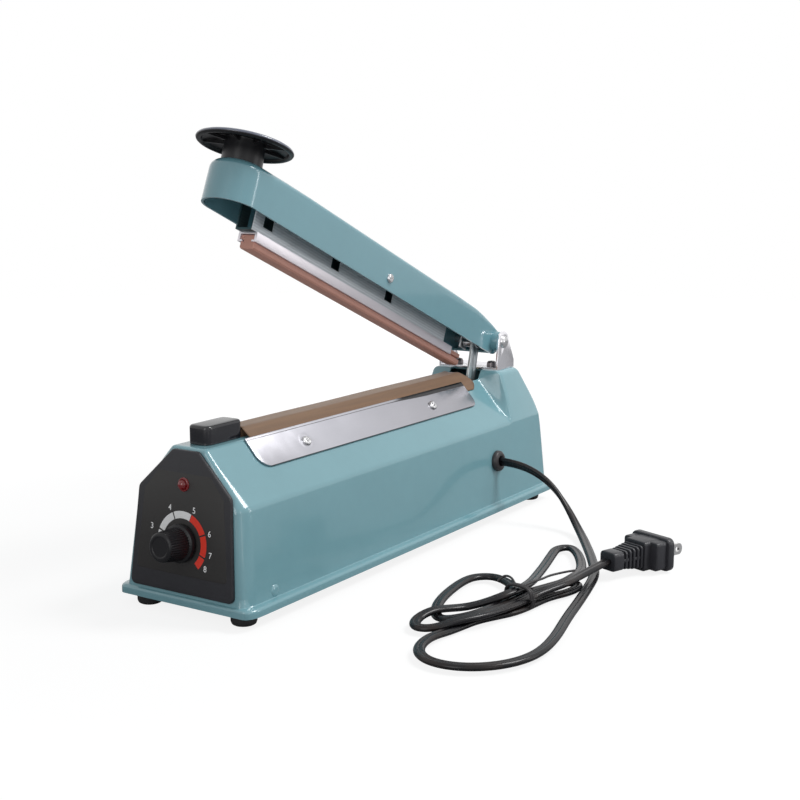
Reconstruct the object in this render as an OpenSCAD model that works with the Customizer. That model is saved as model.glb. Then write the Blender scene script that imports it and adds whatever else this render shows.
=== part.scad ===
// Hand-operated impulse heat sealer: a press arm swings down onto a heated bar.
// X is across the body, -Y is the control end, +Y the hinge end, Z = 0 is the bench.
// The arm rests open. Its pieces are drawn closed and level, then swung up about the pin.

/* [Sealing line] */
// Length of the seal that the heater makes
seal_l = 200; // [160:5:260]
// How much longer the heater bar is than the seal
bar_over = 13; // [8:1:20]
// Width of the heater bar
bar_w = 10.6; // [8:0.2:12]
// Height of the heater bar above the ridge
bar_h = 4.2; // [3:0.1:5]
// Width of the heating ribbon
ribbon_w = 3; // [2:0.5:5]
// Thickness of the heating ribbon
ribbon_t = 0.3; // [0.2:0.05:0.4]
// Thickness of the cover cloth over the bar
cloth_t = 0.4; // [0.2:0.05:0.5]

/* [Housing] */
// Rim's front edge to the front end of the heater bar
nose_l = 42.5; // [36:0.5:50]
// Rear end of the heater bar to the rim's rear edge
tail_l = 66.5; // [64:0.5:75]
// Width over the rim
base_w = 87.2; // [85:0.2:91]
// Thickness of the sheet that the housing is pressed from
wall = 1.2; // [0.8:0.1:1.6]
// Height of the ridge's flat top
ridge_z = 85; // [82:0.5:88]
// Width of the ridge's flat top
ridge_w = 21.6; // [19:0.2:24]
// Height of the shoulder, where slope and side meet
shoulder_z = 58; // [54:0.5:61]
// Width at the shoulder
shoulder_w = 69.8; // [66:0.2:72]
// Height where the side flares out into the rim
skirt_z = 11.5; // [11:0.1:12.5]
// Width at the foot of the sides
skirt_w = 79.4; // [77:0.2:81]
// Height of the upright rim
rim_h = 3.6; // [3:0.2:5]
// Corner radius of the rim seen from above
rim_r = 5.5; // [4:0.5:9]
// Backward lean of the control end, in degrees
lean = 5.2; // [2:0.2:8]
// Lean of the hinge end, in degrees
rear_lean = 0.6; // [0:0.2:3]
// Height of the raised deck that carries the hinge
deck_z = 90; // [88:0.5:91]
// Width of the deck's top
deck_w = 49; // [46:0.5:54]
// Distance from the deck's front to the rim's rear edge
deck_l = 45; // [42:0.5:48]
// Distance from the deck's rear edge to the rim's rear edge
deck_back = 16; // [14:0.5:17]
// Width of the flange turned in at the bottom
turn_w = 19; // [17:0.5:21]

/* [Feet and floor] */
// Height of the rubber feet
foot_h = 6.5; // [5:0.5:9]
// Radius of the rubber feet
foot_r = 6.6; // [6:0.2:8]
// Foot centre to the rim's long edges
foot_side = 12.7; // [11:0.1:14]
// Foot centre to the rim's ends
foot_end = 11; // [10:0.5:13]
// Thickness of the floor plate
floor_t = 1.2; // [1:0.1:1.6]
// Radius of the small screws
screw_r = 1.5; // [1.25:0.25:1.75]
// Play between a screw and its hole
screw_play = 0.1; // [0.05:0.05:0.2]

/* [Control panel] */
// Thickness of the panel
panel_t = 1.8; // [1.5:0.1:2.5]
// Half width at the panel's bottom edge
panel_low = 33.6; // [32:0.2:34]
// Half width at the panel's shoulders
panel_mid = 29.8; // [28:0.2:31]
// Half width at the panel's top edge
panel_top = 8.2; // [7:0.2:10]
// Width of the panel's raised border
panel_rim = 4.2; // [3:0.2:6]
// Depth of the label recess
panel_sink = 0.4; // [0.3:0.1:0.6]
// Height of the knob's axis
knob_z = 38; // [34:0.5:42]
// Height of the pilot lamp
lamp_z = 67; // [62:0.5:70]
// Radius of the pilot lamp's dome
lamp_r = 2.6; // [2:0.1:3]

/* [Timer knob] */
// Length of the knob
knob_len = 15.5; // [12:0.5:18]
// Radius of the knob's skirt
knob_r = 9.6; // [8.5:0.2:11]
// Radius of the knob's front
knob_face_r = 6.6; // [5.5:0.1:7.5]
// Gap between knob and panel
knob_gap = 0.5; // [0.3:0.1:0.8]
// Radius of the timer's shaft
shaft_r = 3; // [2:0.5:3.2]
// Running play of shafts and pins
run_play = 0.05; // [0.03:0.01:0.08]

/* [Hinge] */
// Hinge pin to the rim's rear edge
pin_back = 32.5; // [31.5:0.5:34]
// Height of the hinge pin
pin_z = 108; // [106:0.5:110]
// Radius of the hinge pin
pin_r = 2.5; // [2:0.25:3]
// Outer width over the bracket's ears
ear_w = 44; // [42:0.5:46]
// Thickness of the bracket
ear_t = 1.5; // [1.2:0.1:2]
// Radius of the ears' rounded tops
ear_r = 6.8; // [6:0.2:7.2]
// Length of the bracket along the deck
ear_l = 22; // [20:0.5:24]

/* [Arm] */
// How far the arm stands open at rest, in degrees
open_angle = 22.5; // [15:0.5:30]
// Width of the arm
arm_w = 30.4; // [29:0.2:32]
// Height of the arm's sides
arm_h = 22.2; // [21:0.2:24]
// Depth of the arm's lower edge below the pin
arm_drop = 8.8; // [8.5:0.1:9.2]
// Thickness of the arm's sheet
arm_t = 1.2; // [1:0.1:1.5]
// Clearance between the arm's cheeks and the ears
cheek_gap = 0.3; // [0.2:0.1:0.5]
// Radius of the arm's rounded tail
tail_r = 8.6; // [8:0.1:8.8]

/* [Handle] */
// Radius of the handle's disc
disc_r = 25.3; // [22:0.5:28]
// Thickness at the disc's rim
disc_t = 6.4; // [5:0.2:8]
// Radius of the handle's stem
stem_r = 10.6; // [9:0.2:12]
// Height of the stem under the disc
stem_h = 10.5; // [8:0.5:14]
// Forward lean of the handle against the arm, in degrees
stem_tilt = 4; // [0:0.5:6]

/* [Press bar] */
// Width of the rubber strip
rubber_w = 9; // [8:0.2:10]
// Height of the rubber strip
rubber_h = 7.4; // [6.6:0.2:8]
// Height of the part of the strip that shows
rubber_show = 3.7; // [3:0.1:4.5]
// Width of the press-bar channel
channel_w = 12; // [11.2:0.2:13]
// Height of the press-bar channel
channel_h = 5; // [4.6:0.2:5.6]
// Height of the carrier above the channel
carrier_h = 18; // [16:0.5:20]
// Sheet thickness of channel and carrier
strip_t = 1; // [0.8:0.1:1.2]
// Depth of the rubber's face below the pin
rubber_drop = 23.6; // [23:0.1:24.2]
// Depth of the rocking screw below the pin
rock_drop = 1.9; // [1:0.1:3]
// Gap left between rubber and cloth when closed
shut_gap = 0.3; // [0.2:0.05:0.5]

/* [Clamp plates] */
// Width of a clamp plate down the slope
clamp_w = 18.4; // [16:0.2:20]
// Thickness of a clamp plate
clamp_t = 0.8; // [0.6:0.1:1]
// Corner radius of a clamp plate
clamp_r = 6; // [3:0.5:8]

/* [Front block] */
// Length of the block in front of the heater bar
block_l = 27.4; // [24:0.2:30]
// Width of the block
block_w = 13.4; // [12:0.2:16]
// Height of the block
block_h = 9.8; // [8:0.2:12]

/* [Strap and spring] */
// Strap's pin ahead of the hinge pin
strap_ahead = 13; // [12:0.5:14]
// Width of the strap
strap_w = 9; // [8:0.5:9.5]
// Thickness of the strap
strap_t = 1.6; // [1.2:0.1:2]
// Strap's side to the middle of the arm
strap_x = 7; // [6.5:0.1:7.5]
// Length of the strap below its pin
strap_l = 56; // [52:1:60]
// Backward lean of the strap, in degrees
strap_lean = 14; // [8:1:16]
// Radius of the return spring's coil
coil_r = 4.5; // [4:0.25:5.5]
// Radius of the return spring's wire
coil_wire = 0.6; // [0.5:0.05:0.8]

/* [Electrics] */
// Gap between the transformer and the housing's flange on each side
core_play = 0.6; // [0.4:0.1:3]
// Length of the transformer core along the housing
core_y = 24; // [20:1:30]
// Height of the transformer core
core_z = 40; // [34:1:42]
// Length of the circuit board
board_l = 62; // [50:1:70]
// Gap between the board's spacers and the housing's flange on each side
board_play = 0.8; // [0.5:0.1:3]

/* [Mains cord] */
// Height of the grommet
grommet_z = 37; // [30:0.5:42]
// Grommet to the rim's rear edge
grommet_back = 67.5; // [62:0.5:72]
// Radius of the grommet's collar
grommet_r = 6.6; // [6:0.2:7.5]
// Width of the flat twin cord
cord_w = 5.6; // [5.6:0.2:6]

/* [Hidden] */

$fn = 48;
eps = 0.01;

// Along the body. The origin is at the middle of the overall length, knob included.
base_l = nose_l + seal_l + bar_over + tail_l;
face_set = 1.3;
function face_rise(z) = face_set + (z - skirt_z) * tan(lean);
knob_reach = (panel_t + knob_gap + knob_len) * cos(lean) + knob_face_r * sin(lean) - face_rise(knob_z);
rim_front = knob_reach - (base_l + knob_reach) / 2;
rim_rear = rim_front + base_l;
function front_y(z) = rim_front + face_rise(z);
function rear_y(z) = rim_rear - face_set - (z - skirt_z) * tan(rear_lean);
bar_front = rim_front + nose_l;
bar_len = seal_l + bar_over;
bar_rear = bar_front + bar_len;
deck_y = rim_rear - deck_l;
pin_y = rim_rear - pin_back;

// Planes of the housing's section: [normal x, normal z, distance].
function plane(a, b) =
    let (n = [a[1] - b[1], b[0] - a[0]], u = n / norm(n)) [u[0], u[1], u[0] * a[0] + u[1] * a[1]];
slope = plane([ridge_w / 2, ridge_z], [shoulder_w / 2, shoulder_z]);
side = plane([shoulder_w / 2, shoulder_z], [skirt_w / 2, skirt_z]);
deck_side = plane([deck_w / 2, deck_z], [shoulder_w / 2, shoulder_z]);
slope_deg = atan2(slope[0], slope[1]);
function x_on(p, z, r) = (p[2] - r - p[1] * z) / p[0];
function meet(p, q, r) =
    let (d = p[0] * q[1] - p[1] * q[0])
    [((p[2] - r) * q[1] - (q[2] - r) * p[1]) / d, (p[0] * (q[2] - r) - q[0] * (p[2] - r)) / d];

// Rounding of the housing's edges.
ridge_r = 3;
shoulder_r = 4.5;
deck_r = 5;
post_r = 5;
rib_fn = 32;

module rounded_rect(w, l, r) {
    for (sx = [-1, 1], sy = [-1, 1])
        translate([sx * (w / 2 - r), sy * (l / 2 - r)]) circle(r);
    square([w - 2 * r, l], center = true);
    square([w, l - 2 * r], center = true);
}

// Polygon with rounded corners: each corner becomes an arc of six points.
function arc_corner(a, b, c, r) =
    let (u = (a - b) / norm(a - b), v = (c - b) / norm(c - b), h = acos(u * v) / 2,
        t = r / tan(h), m = b + (u + v) / norm(u + v) * r / sin(h), p = b + u * t - m,
        turn = (180 - 2 * h) * sign(u[0] * v[1] - u[1] * v[0]))
    [for (i = [0:5]) let (g = -turn * i / 5) m + [p[0] * cos(g) - p[1] * sin(g), p[0] * sin(g) + p[1] * cos(g)]];
function round_corners(pts, r) = let (n = len(pts))
    [for (i = [0:n - 1]) each arc_corner(pts[(i + n - 1) % n], pts[i], pts[(i + 1) % n], r)];

// Tube swept along points: a ring of n points square to the path at each one.
function unit(v) = v / norm(v);
function tube_side(t) = unit(cross(t, abs(t[2]) > 0.9 ? [1, 0, 0] : [0, 0, 1]));
module tube(pts, r, n = 8) {
    last = len(pts) - 1;
    rings = [for (i = [0:last]) let (t = unit(pts[min(i + 1, last)] - pts[max(i - 1, 0)]),
        u = tube_side(t), v = cross(u, t))
        for (k = [0:n - 1]) pts[i] + r * (u * cos(360 * k / n) + v * sin(360 * k / n))];
    polyhedron(rings, concat([[for (k = [0:n - 1]) k]],
        [for (i = [0:last - 1], k = [0:n - 1]) let (a = i * n, j = (k + 1) % n) [a + j, a + k, a + n + k, a + n + j]],
        [[for (k = [n - 1:-1:0]) last * n + k]]));
}
// Smooth curve through a list of points, with m steps between neighbours.
function spline(p, m) = concat([for (i = [0:len(p) - 2], k = [0:m - 1])
    let (a = p[max(i - 1, 0)], b = p[i], c = p[i + 1], d = p[min(i + 2, len(p) - 1)], t = k / m)
    0.5 * (2 * b + t * (c - a) + t * t * (2 * a - 5 * b + 4 * c - d) + t * t * t * (3 * b - a - 3 * c + d))],
    [p[len(p) - 1]]);

// ---- Housing ----
rim_top = foot_h + rim_h;
flange_z = foot_h + floor_t;
flange_in = base_w / 2 - turn_w;
foot_x = base_w / 2 - foot_side;
foot_ys = [rim_front + foot_end, rim_rear - foot_end];
module at_feet() { for (sx = [-1, 1], y = foot_ys) translate([sx * foot_x, y, 0]) children(); }

// The main body: ridge, slopes and sides, drawn in by g.
module body_form(g) {
    rc = meet(slope, [0, 1, ridge_z], ridge_r);
    sc = meet(slope, side, shoulder_r);
    lift = 1 / cos(lean);
    hull() for (sx = [-1, 1]) {
        translate([sx * rc[0], front_y(rc[1]) + ridge_r * lift, rc[1]]) sphere(ridge_r - g, $fn = rib_fn);
        translate([sx * rc[0], deck_y + 12, rc[1]]) sphere(ridge_r - g, $fn = rib_fn);
        translate([sx * sc[0], front_y(sc[1]) + shoulder_r * lift, sc[1]]) sphere(shoulder_r - g, $fn = rib_fn);
        translate([sx * sc[0], rear_y(sc[1]) - shoulder_r * lift, sc[1]]) sphere(shoulder_r - g, $fn = rib_fn);
        for (y = [front_y(skirt_z) + post_r, rear_y(skirt_z) - post_r])
            translate([sx * (skirt_w / 2 - post_r), y, skirt_z - 0.5])
                cylinder(r = post_r - g, h = 0.5, $fn = rib_fn);
    }
}
// The hinge deck: a wider block over the rear end, drawn in by g.
module deck_form(g) {
    dc = meet(deck_side, [0, 1, deck_z], deck_r);
    sc = meet(deck_side, side, shoulder_r);
    lift = 1 / cos(lean);
    hull() for (sx = [-1, 1]) {
        translate([sx * dc[0], deck_y + deck_r, dc[1]]) sphere(deck_r - g, $fn = rib_fn);
        translate([sx * dc[0], rim_rear - deck_back - deck_r, dc[1]]) sphere(deck_r - g, $fn = rib_fn);
        translate([sx * sc[0], deck_y + shoulder_r, sc[1]]) sphere(shoulder_r - g, $fn = rib_fn);
        translate([sx * sc[0], rear_y(sc[1]) - shoulder_r * lift, sc[1]]) sphere(shoulder_r - g, $fn = rib_fn);
    }
}
// The flare from the sides down to the upright rim, drawn in by g and carried down by low.
module skirt_form(g, low) {
    mid = (rim_front + rim_rear) / 2;
    hull() {
        translate([0, mid, foot_h - low]) linear_extrude(rim_h + low)
            rounded_rect(base_w - 2 * g, base_l - 2 * g, rim_r - g, $fn = rib_fn);
        for (sx = [-1, 1], y = [front_y(skirt_z) + post_r, rear_y(skirt_z) - post_r])
            translate([sx * (skirt_w / 2 - post_r), y, skirt_z - 0.5])
                cylinder(r = post_r - g, h = 0.5, $fn = rib_fn);
    }
}

// The opening in the ridge that the strap passes through.
slot_w = ridge_w + 1;
slot_front = deck_y - 13;
slot_rear = deck_y + 6;
// Places of the smaller holes.
bracket_hole_x = 12.5;
bracket_hole_y = pin_y + 1;
clamp_back = 3;
clamp_front = bar_front - 5;
clamp_len = bar_rear - clamp_back - clamp_front;
clamp_screw_ys = [clamp_front + 42, bar_rear - clamp_back - 46];
clamp_screw_drop = 10.5;
terminal_front_y = bar_front - 11;
terminal_rear_y = bar_rear + 4;
terminal_r = 2;
grommet_y = rim_rear - grommet_back;
grommet_bore = grommet_r - 1.6;
grommet_x = x_on(side, grommet_z, 0);
side_draft = atan2(side[1], side[0]);

// Puts children on the slope of one side: x runs down the slope, z out of it.
module on_slope(sx) {
    mirror([sx < 0 ? 1 : 0, 0, 0]) translate([ridge_w / 2, 0, ridge_z]) rotate([0, slope_deg, 0]) children();
}
// Puts children on the control end: y runs up the face, z out of it.
module on_face(z, out = 0) {
    translate([0, front_y(z), z]) rotate([90 - lean, 0, 0]) translate([0, 0, out]) children();
}
module housing() {
    color("cadetblue") difference() {
        union() {
            difference() {
                union() { body_form(0); deck_form(0); skirt_form(0, 0); }
                body_form(wall);
                deck_form(wall);
                skirt_form(wall, 1);
            }
            translate([0, (rim_front + rim_rear) / 2, flange_z]) linear_extrude(wall) difference() {
                rounded_rect(base_w - wall, base_l - wall, rim_r - wall / 2);
                rounded_rect(2 * flange_in, base_l - 2 * turn_w, 3);
            }
        }
        translate([-slot_w / 2, slot_front, ridge_z - 6]) cube([slot_w, slot_rear - slot_front, 20]);
        at_feet() cylinder(r = screw_r + screw_play, h = skirt_z);
        for (sx = [-1, 1]) translate([sx * bracket_hole_x, bracket_hole_y, deck_z - 5])
            cylinder(r = screw_r + screw_play, h = 10);
        for (sx = [-1, 1], y = clamp_screw_ys) on_slope(sx) translate([clamp_screw_drop, y, -4])
            cylinder(r = screw_r + screw_play, h = 8);
        for (y = [terminal_front_y, terminal_rear_y]) translate([0, y, ridge_z - 5])
            cylinder(r = terminal_r + screw_play, h = 10);
        translate([grommet_x - 8, grommet_y, grommet_z]) rotate([0, 90, 0]) cylinder(r = grommet_bore, h = 16);
        on_face(knob_z, -4) cylinder(r = bush_r + screw_play, h = 8);
        on_face(lamp_z, -4) cylinder(r = lamp_r + screw_play, h = 8);
    }
}
module floor_plate() {
    color("lightslategray") difference() {
        translate([0, (rim_front + rim_rear) / 2, foot_h]) linear_extrude(floor_t)
            rounded_rect(base_w - 2 * wall - 0.6, base_l - 2 * wall - 0.6, rim_r - wall - 0.3);
        at_feet() cylinder(r = screw_r + screw_play, h = skirt_z);
        for (p = frame_feet) translate([p[0], p[1], 0]) cylinder(r = screw_r + screw_play, h = skirt_z);
        for (p = board_feet) translate([p[0], p[1], 0]) cylinder(r = screw_r + screw_play, h = skirt_z);
    }
}
head_r = 2.8;
head_h = 1.6;
foot_sink = 2.2;
module rubber_feet() {
    color("#222222") at_feet() rotate_extrude() polygon([[screw_r + screw_play, foot_sink + head_h],
        [head_r + 0.6, foot_sink + head_h], [head_r + 0.6, 0], [foot_r - 1.6, 0], [foot_r - 0.5, 0.6],
        [foot_r, 2], [foot_r, foot_h], [screw_r + screw_play, foot_h]]);
}
module foot_screws() {
    color("silver") at_feet() {
        translate([0, 0, foot_sink]) cylinder(r = head_r, h = head_h);
        translate([0, 0, foot_sink]) cylinder(r = screw_r, h = flange_z + wall + nut_h + 1 - foot_sink);
    }
}
nut_h = 2.4;
nut_r = 3.1;
module foot_nuts() {
    color("silver") at_feet() translate([0, 0, flange_z + wall]) difference() {
        cylinder(r = nut_r, h = nut_h, $fn = 6);
        translate([0, 0, -1]) cylinder(r = screw_r, h = nut_h + 2);
    }
}

// ---- Control panel ----
function up_face(z) = (z - skirt_z) / cos(lean);
panel_z = [12.8, shoulder_z + 5.5, ridge_z - 1.2];
panel_outline = [[-panel_low, up_face(panel_z[0])], [panel_low, up_face(panel_z[0])],
    [panel_mid, up_face(panel_z[1])], [panel_top, up_face(panel_z[2])],
    [-panel_top, up_face(panel_z[2])], [-panel_mid, up_face(panel_z[1])]];
label_outline = [[-panel_low + panel_rim, up_face(panel_z[0]) + 2.2 * panel_rim],
    [panel_low - panel_rim, up_face(panel_z[0]) + 2.2 * panel_rim],
    [panel_mid - panel_rim, up_face(panel_z[1]) - 0.3 * panel_rim],
    [panel_mid - 3.1 * panel_rim, up_face(panel_z[2]) - 2.7 * panel_rim],
    [-panel_mid + 3.1 * panel_rim, up_face(panel_z[2]) - 2.7 * panel_rim],
    [-panel_mid + panel_rim, up_face(panel_z[1]) - 0.3 * panel_rim]];
bush_r = 3.6;
module panel_holes(out) {
    translate([0, up_face(knob_z), out]) cylinder(r = bush_r + screw_play, h = 10);
    translate([0, up_face(lamp_z), out]) cylinder(r = lamp_r + screw_play, h = 10);
}
module control_panel() {
    color("#2b2b2d") on_face(skirt_z) difference() {
        linear_extrude(panel_t) polygon(round_corners(panel_outline, 3));
        translate([0, 0, panel_t - panel_sink]) linear_extrude(2) polygon(round_corners(label_outline, 2));
        panel_holes(-1);
    }
}
module panel_label() {
    color("#47474a") on_face(skirt_z, panel_t - panel_sink) difference() {
        linear_extrude(panel_sink * 0.75) polygon(round_corners(label_outline, 2));
        panel_holes(-1);
    }
}
module pilot_lamp() {
    color("darkred") on_face(lamp_z, -5) {
        cylinder(r = lamp_r, h = 5 + panel_t + 0.6);
        translate([0, 0, 5 + panel_t + 0.6]) intersection() {
            sphere(lamp_r);
            cylinder(r = lamp_r + 1, h = lamp_r + 1);
        }
    }
}
module lamp_holder() {
    color("#222222") on_face(lamp_z, -7) difference() {
        cylinder(r = lamp_r + 1.6, h = 7 - wall);
        translate([0, 0, 2]) cylinder(r = lamp_r, h = 10);
    }
}
flute_n = 18;
module timer_knob() {
    skirt_h = 3;
    color("#1c1c1e") on_face(knob_z, panel_t + knob_gap) difference() {
        union() {
            rotate_extrude() polygon([[0, 0], [knob_r, 0], [knob_r, skirt_h - 0.8], [knob_r - 0.8, skirt_h],
                [knob_r - 1.2, skirt_h], [knob_face_r + 0.6, knob_len - 1], [knob_face_r - 0.5, knob_len], [0, knob_len]]);
        }
        for (i = [0:flute_n - 1]) rotate(i * 360 / flute_n)
            translate([knob_r - 0.75, 0, skirt_h]) rotate([0, -9.5, 0]) cylinder(r = 0.75, h = knob_len);
        translate([0, 0, -1]) cylinder(r = bush_r + 1.4, h = 3.4);
        translate([0, 0, -1]) cylinder(r = shaft_r, h = knob_len - 2);
    }
}
shaft_in = 3;
control_h = 9;
module timer_shaft() {
    color("silver") on_face(knob_z, -wall - control_h + shaft_in)
        cylinder(r = shaft_r, h = wall + control_h - shaft_in + panel_t + knob_gap + knob_len - 3);
}
module timer_control() {
    color("#6b4a2a") on_face(knob_z, -wall - control_h) difference() {
        union() {
            cylinder(r = 8.2, h = control_h);
            cylinder(r = bush_r, h = control_h + wall + panel_t - 0.4);
            translate([-7, -14, 0]) cube([14, 9, 1.6]);
        }
        translate([0, 0, shaft_in - 0.5]) cylinder(r = shaft_r + run_play, h = 30);
    }
}
module timer_nut() {
    color("silver") on_face(knob_z, panel_t - panel_sink * 0.25 + 0.02) difference() {
        cylinder(r = bush_r + 1.1, h = 1.9, $fn = 6);
        translate([0, 0, -1]) cylinder(r = bush_r + 0.02, h = 5);
    }
}

// ---- Electrics ----
spacer_r = 2.8;
spacer_in = 4;
core_x = 2 * (flange_in - core_play);
board_w = 2 * (flange_in - board_play - spacer_r + spacer_in);
board_mid = front_y(skirt_z) + 28 + board_l / 2;
board_z = flange_z + 8;
board_feet = [for (sx = [-1, 1], sy = [-1, 1]) [sx * (board_w / 2 - spacer_in), board_mid + sy * (board_l / 2 - spacer_in)]];
board_t = 1.6;
module board_spacers() {
    color("gold") for (p = board_feet) translate([p[0], p[1], foot_h + floor_t]) difference() {
        cylinder(r = spacer_r, h = board_z - foot_h - floor_t);
        translate([0, 0, -1]) cylinder(r = screw_r, h = 20);
    }
}
module circuit_board() {
    color("darkgreen") difference() {
        translate([-board_w / 2, board_mid - board_l / 2, board_z]) cube([board_w, board_l, board_t]);
        for (p = board_feet) translate([p[0], p[1], 0]) cylinder(r = screw_r + screw_play, h = 40);
    }
}
module board_components() {
    top = board_z + board_t;
    color("#3a3a3a") translate([-board_w / 2 + 9, board_mid - 8, top]) cube([18, 15, 15]);
    color("navy") translate([6, board_mid - 14, top]) cylinder(r = 6, h = 20);
    color("navy") translate([16, board_mid + 4, top]) cylinder(r = 4, h = 12);
    color("#222222") translate([-4, board_mid + 14, top]) cube([10, 4, 14]);
    color("peru") for (i = [0:3]) translate([-board_w / 2 + 8 + i * 5, board_mid - 22, top + 1.2])
        rotate([-90, 0, 0]) cylinder(r = 1.2, h = 8);
}
core_mid = board_mid + board_l / 2 + 16 + core_y / 2;
frame_t = 1.2;
frame_feet = [for (sx = [-1, 1]) [sx * (core_x / 2 - 8), core_mid + core_y / 2 + frame_t + 5],
    for (sx = [-1, 1]) [sx * (core_x / 2 - 8), core_mid - core_y / 2 - frame_t - 5]];
core_base = foot_h + floor_t + frame_t;
coil_out = 9;
module transformer_core() {
    color("dimgray") translate([-core_x / 2, core_mid - core_y / 2, core_base]) difference() {
        cube([core_x, core_y, core_z]);
        for (x = [core_x / 6, core_x * 2 / 3]) translate([x, -1, core_z / 6])
            cube([core_x / 6, core_y + 2, core_z * 2 / 3]);
    }
}
module transformer_coil() {
    win_x = core_x / 3;
    win_z = core_z * 2 / 3;
    color("#b5651d") translate([0, core_mid, core_base + core_z / 6]) difference() {
        translate([-win_x + 0.3, -core_y / 2 - coil_out, 0.3]) cube([2 * win_x - 0.6, core_y + 2 * coil_out, win_z - 0.6]);
        translate([-win_x / 2, -core_y / 2, -1]) cube([win_x, core_y, win_z + 2]);
    }
}
module transformer_frame() {
    hi = core_z * 0.14;
    color("lightgray") difference() {
        union() {
            translate([-core_x / 2, core_mid - core_y / 2 - frame_t - 10, core_base - frame_t])
                cube([core_x, core_y + 2 * frame_t + 20, frame_t]);
            for (y = [core_mid - core_y / 2 - frame_t, core_mid + core_y / 2])
                translate([-core_x / 2, y, core_base - frame_t]) cube([core_x, frame_t, hi + frame_t]);
        }
        for (p = frame_feet) translate([p[0], p[1], 0]) cylinder(r = screw_r + screw_play, h = 20);
    }
}
module transformer_screws() {
    color("silver") for (p = frame_feet) translate([p[0], p[1], 0]) {
        translate([0, 0, foot_h - 0.8]) cylinder(r = screw_r, h = floor_t + frame_t + 4);
        translate([0, 0, core_base]) cylinder(r = head_r, h = head_h);
    }
}
block_mid = grommet_y - 30;
module terminal_block() {
    color("ivory") translate([-2, block_mid - 12, foot_h + floor_t]) difference() {
        cube([18, 24, 14]);
        for (y = [7, 17]) translate([9, y, 8]) cylinder(r = 2.2, h = 10);
    }
}

// ---- Sealing line ----
bar_top = ridge_z + bar_h;
tape_t = 0.2;
ribbon_z = bar_top + tape_t;
cloth_top = ribbon_z + ribbon_t + cloth_t;
module along_bar(front, length) { translate([0, front + length, 0]) rotate([90, 0, 0]) linear_extrude(length) children(); }
module heater_bar() {
    r = 1.2;
    color("#7a5a3c") along_bar(bar_front, bar_len) union() {
        translate([-bar_w / 2, ridge_z]) square([bar_w, bar_h - r]);
        translate([-bar_w / 2 + r, ridge_z]) square([bar_w - 2 * r, bar_h]);
        for (sx = [-1, 1]) translate([sx * (bar_w / 2 - r), bar_top - r]) circle(r);
    }
}
module heater_tape() {
    color("#a8794c") translate([-bar_w / 2 + 1.4, bar_front + 2, bar_top]) cube([bar_w - 2.8, bar_len - 4, tape_t]);
}
module heating_ribbon() {
    color("silver") translate([-ribbon_w / 2, bar_front - 9, ribbon_z]) cube([ribbon_w, bar_len + 15, ribbon_t]);
}
module front_terminal() {
    color("goldenrod") translate([0, terminal_front_y, 0]) {
        translate([0, 0, ridge_z - 7]) cylinder(r = terminal_r, h = ribbon_z - ridge_z + 7);
        translate([0, 0, ridge_z]) cylinder(r = terminal_r + 1.4, h = ribbon_z - ridge_z);
    }
}
module rear_terminal() {
    color("goldenrod") translate([0, terminal_rear_y, 0]) {
        translate([0, 0, ridge_z - 7]) cylinder(r = terminal_r, h = 8);
        translate([0, 0, ridge_z]) cylinder(r = terminal_r + 1, h = ribbon_z - ridge_z);
    }
}
lead_r = 1.1;
module heater_leads() {
    drop = ridge_z - 7;
    low = core_base + core_z + 6;
    color("white") {
        tube(spline([[0, terminal_front_y, drop], [0, terminal_front_y, low + 8], [6, terminal_front_y + 20, low],
            [8, core_mid - 20, low], [8, core_mid, low - 4], [8, core_mid, core_base + core_z + 0.4]], 2), lead_r);
        tube(spline([[0, terminal_rear_y, drop], [0, terminal_rear_y, low + 8], [-6, terminal_rear_y - 20, low],
            [-8, core_mid + 20, low], [-8, core_mid, low - 4], [-8, core_mid, core_base + core_z + 0.4]], 2), lead_r);
    }
}
// The cloth: flat over the bar, sloping down to the ridge's edges, then down under the clamp plates.
cloth_down = 7;
function cloth_line(out) = let (n = [slope[0], slope[1]], d = [slope[1], -slope[0]],
    e = [ridge_w / 2, ridge_z], shoulder = [bar_w / 2 - 0.3, ribbon_z + ribbon_t])
    [shoulder + [out ? cloth_t * 0.4 : 0, out ? cloth_t : 0], e + n * (out ? cloth_t : 0.02), e + d * cloth_down + n * (out ? cloth_t : 0.02)];
module cover_cloth() {
    top = cloth_line(true);
    low = cloth_line(false);
    function flip(p) = [for (i = [len(p) - 1:-1:0]) [-p[i][0], p[i][1]]];
    color("#9a7350") along_bar(bar_front, bar_len + 5)
        polygon(concat(top, [for (i = [2:-1:0]) low[i]], flip([low[2], low[1], low[0]]), flip([top[0], top[1], top[2]])));
}
module clamp_plate() {
    on_slope(1) translate([0, 0, cloth_t + 0.04]) difference() {
        union() {
            linear_extrude(clamp_t) translate([clamp_w / 2, clamp_front + clamp_len / 2])
                rounded_rect(clamp_w, clamp_len, clamp_r);
            translate([0, clamp_front, 0]) cube([clamp_r + 1, clamp_len, clamp_t]);
        }
        for (y = clamp_screw_ys) translate([clamp_screw_drop, y, -1]) cylinder(r = screw_r + screw_play, h = 4);
    }
}
module clamp_plate_right() { color("gainsboro") clamp_plate(); }
module clamp_plate_left() { color("gainsboro") mirror([1, 0, 0]) clamp_plate(); }
module clamp_screws() {
    color("silver") for (sx = [-1, 1], y = clamp_screw_ys) on_slope(sx)
        translate([clamp_screw_drop, y, cloth_t + 0.04 + clamp_t]) {
            translate([0, 0, -5]) cylinder(r = screw_r, h = 5);
            rotate_extrude() polygon([[0, 0], [2.9, 0], [2.9, 0.5], [2.2, 1.2], [1, 1.5], [0, 1.5]]);
        }
}
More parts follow.
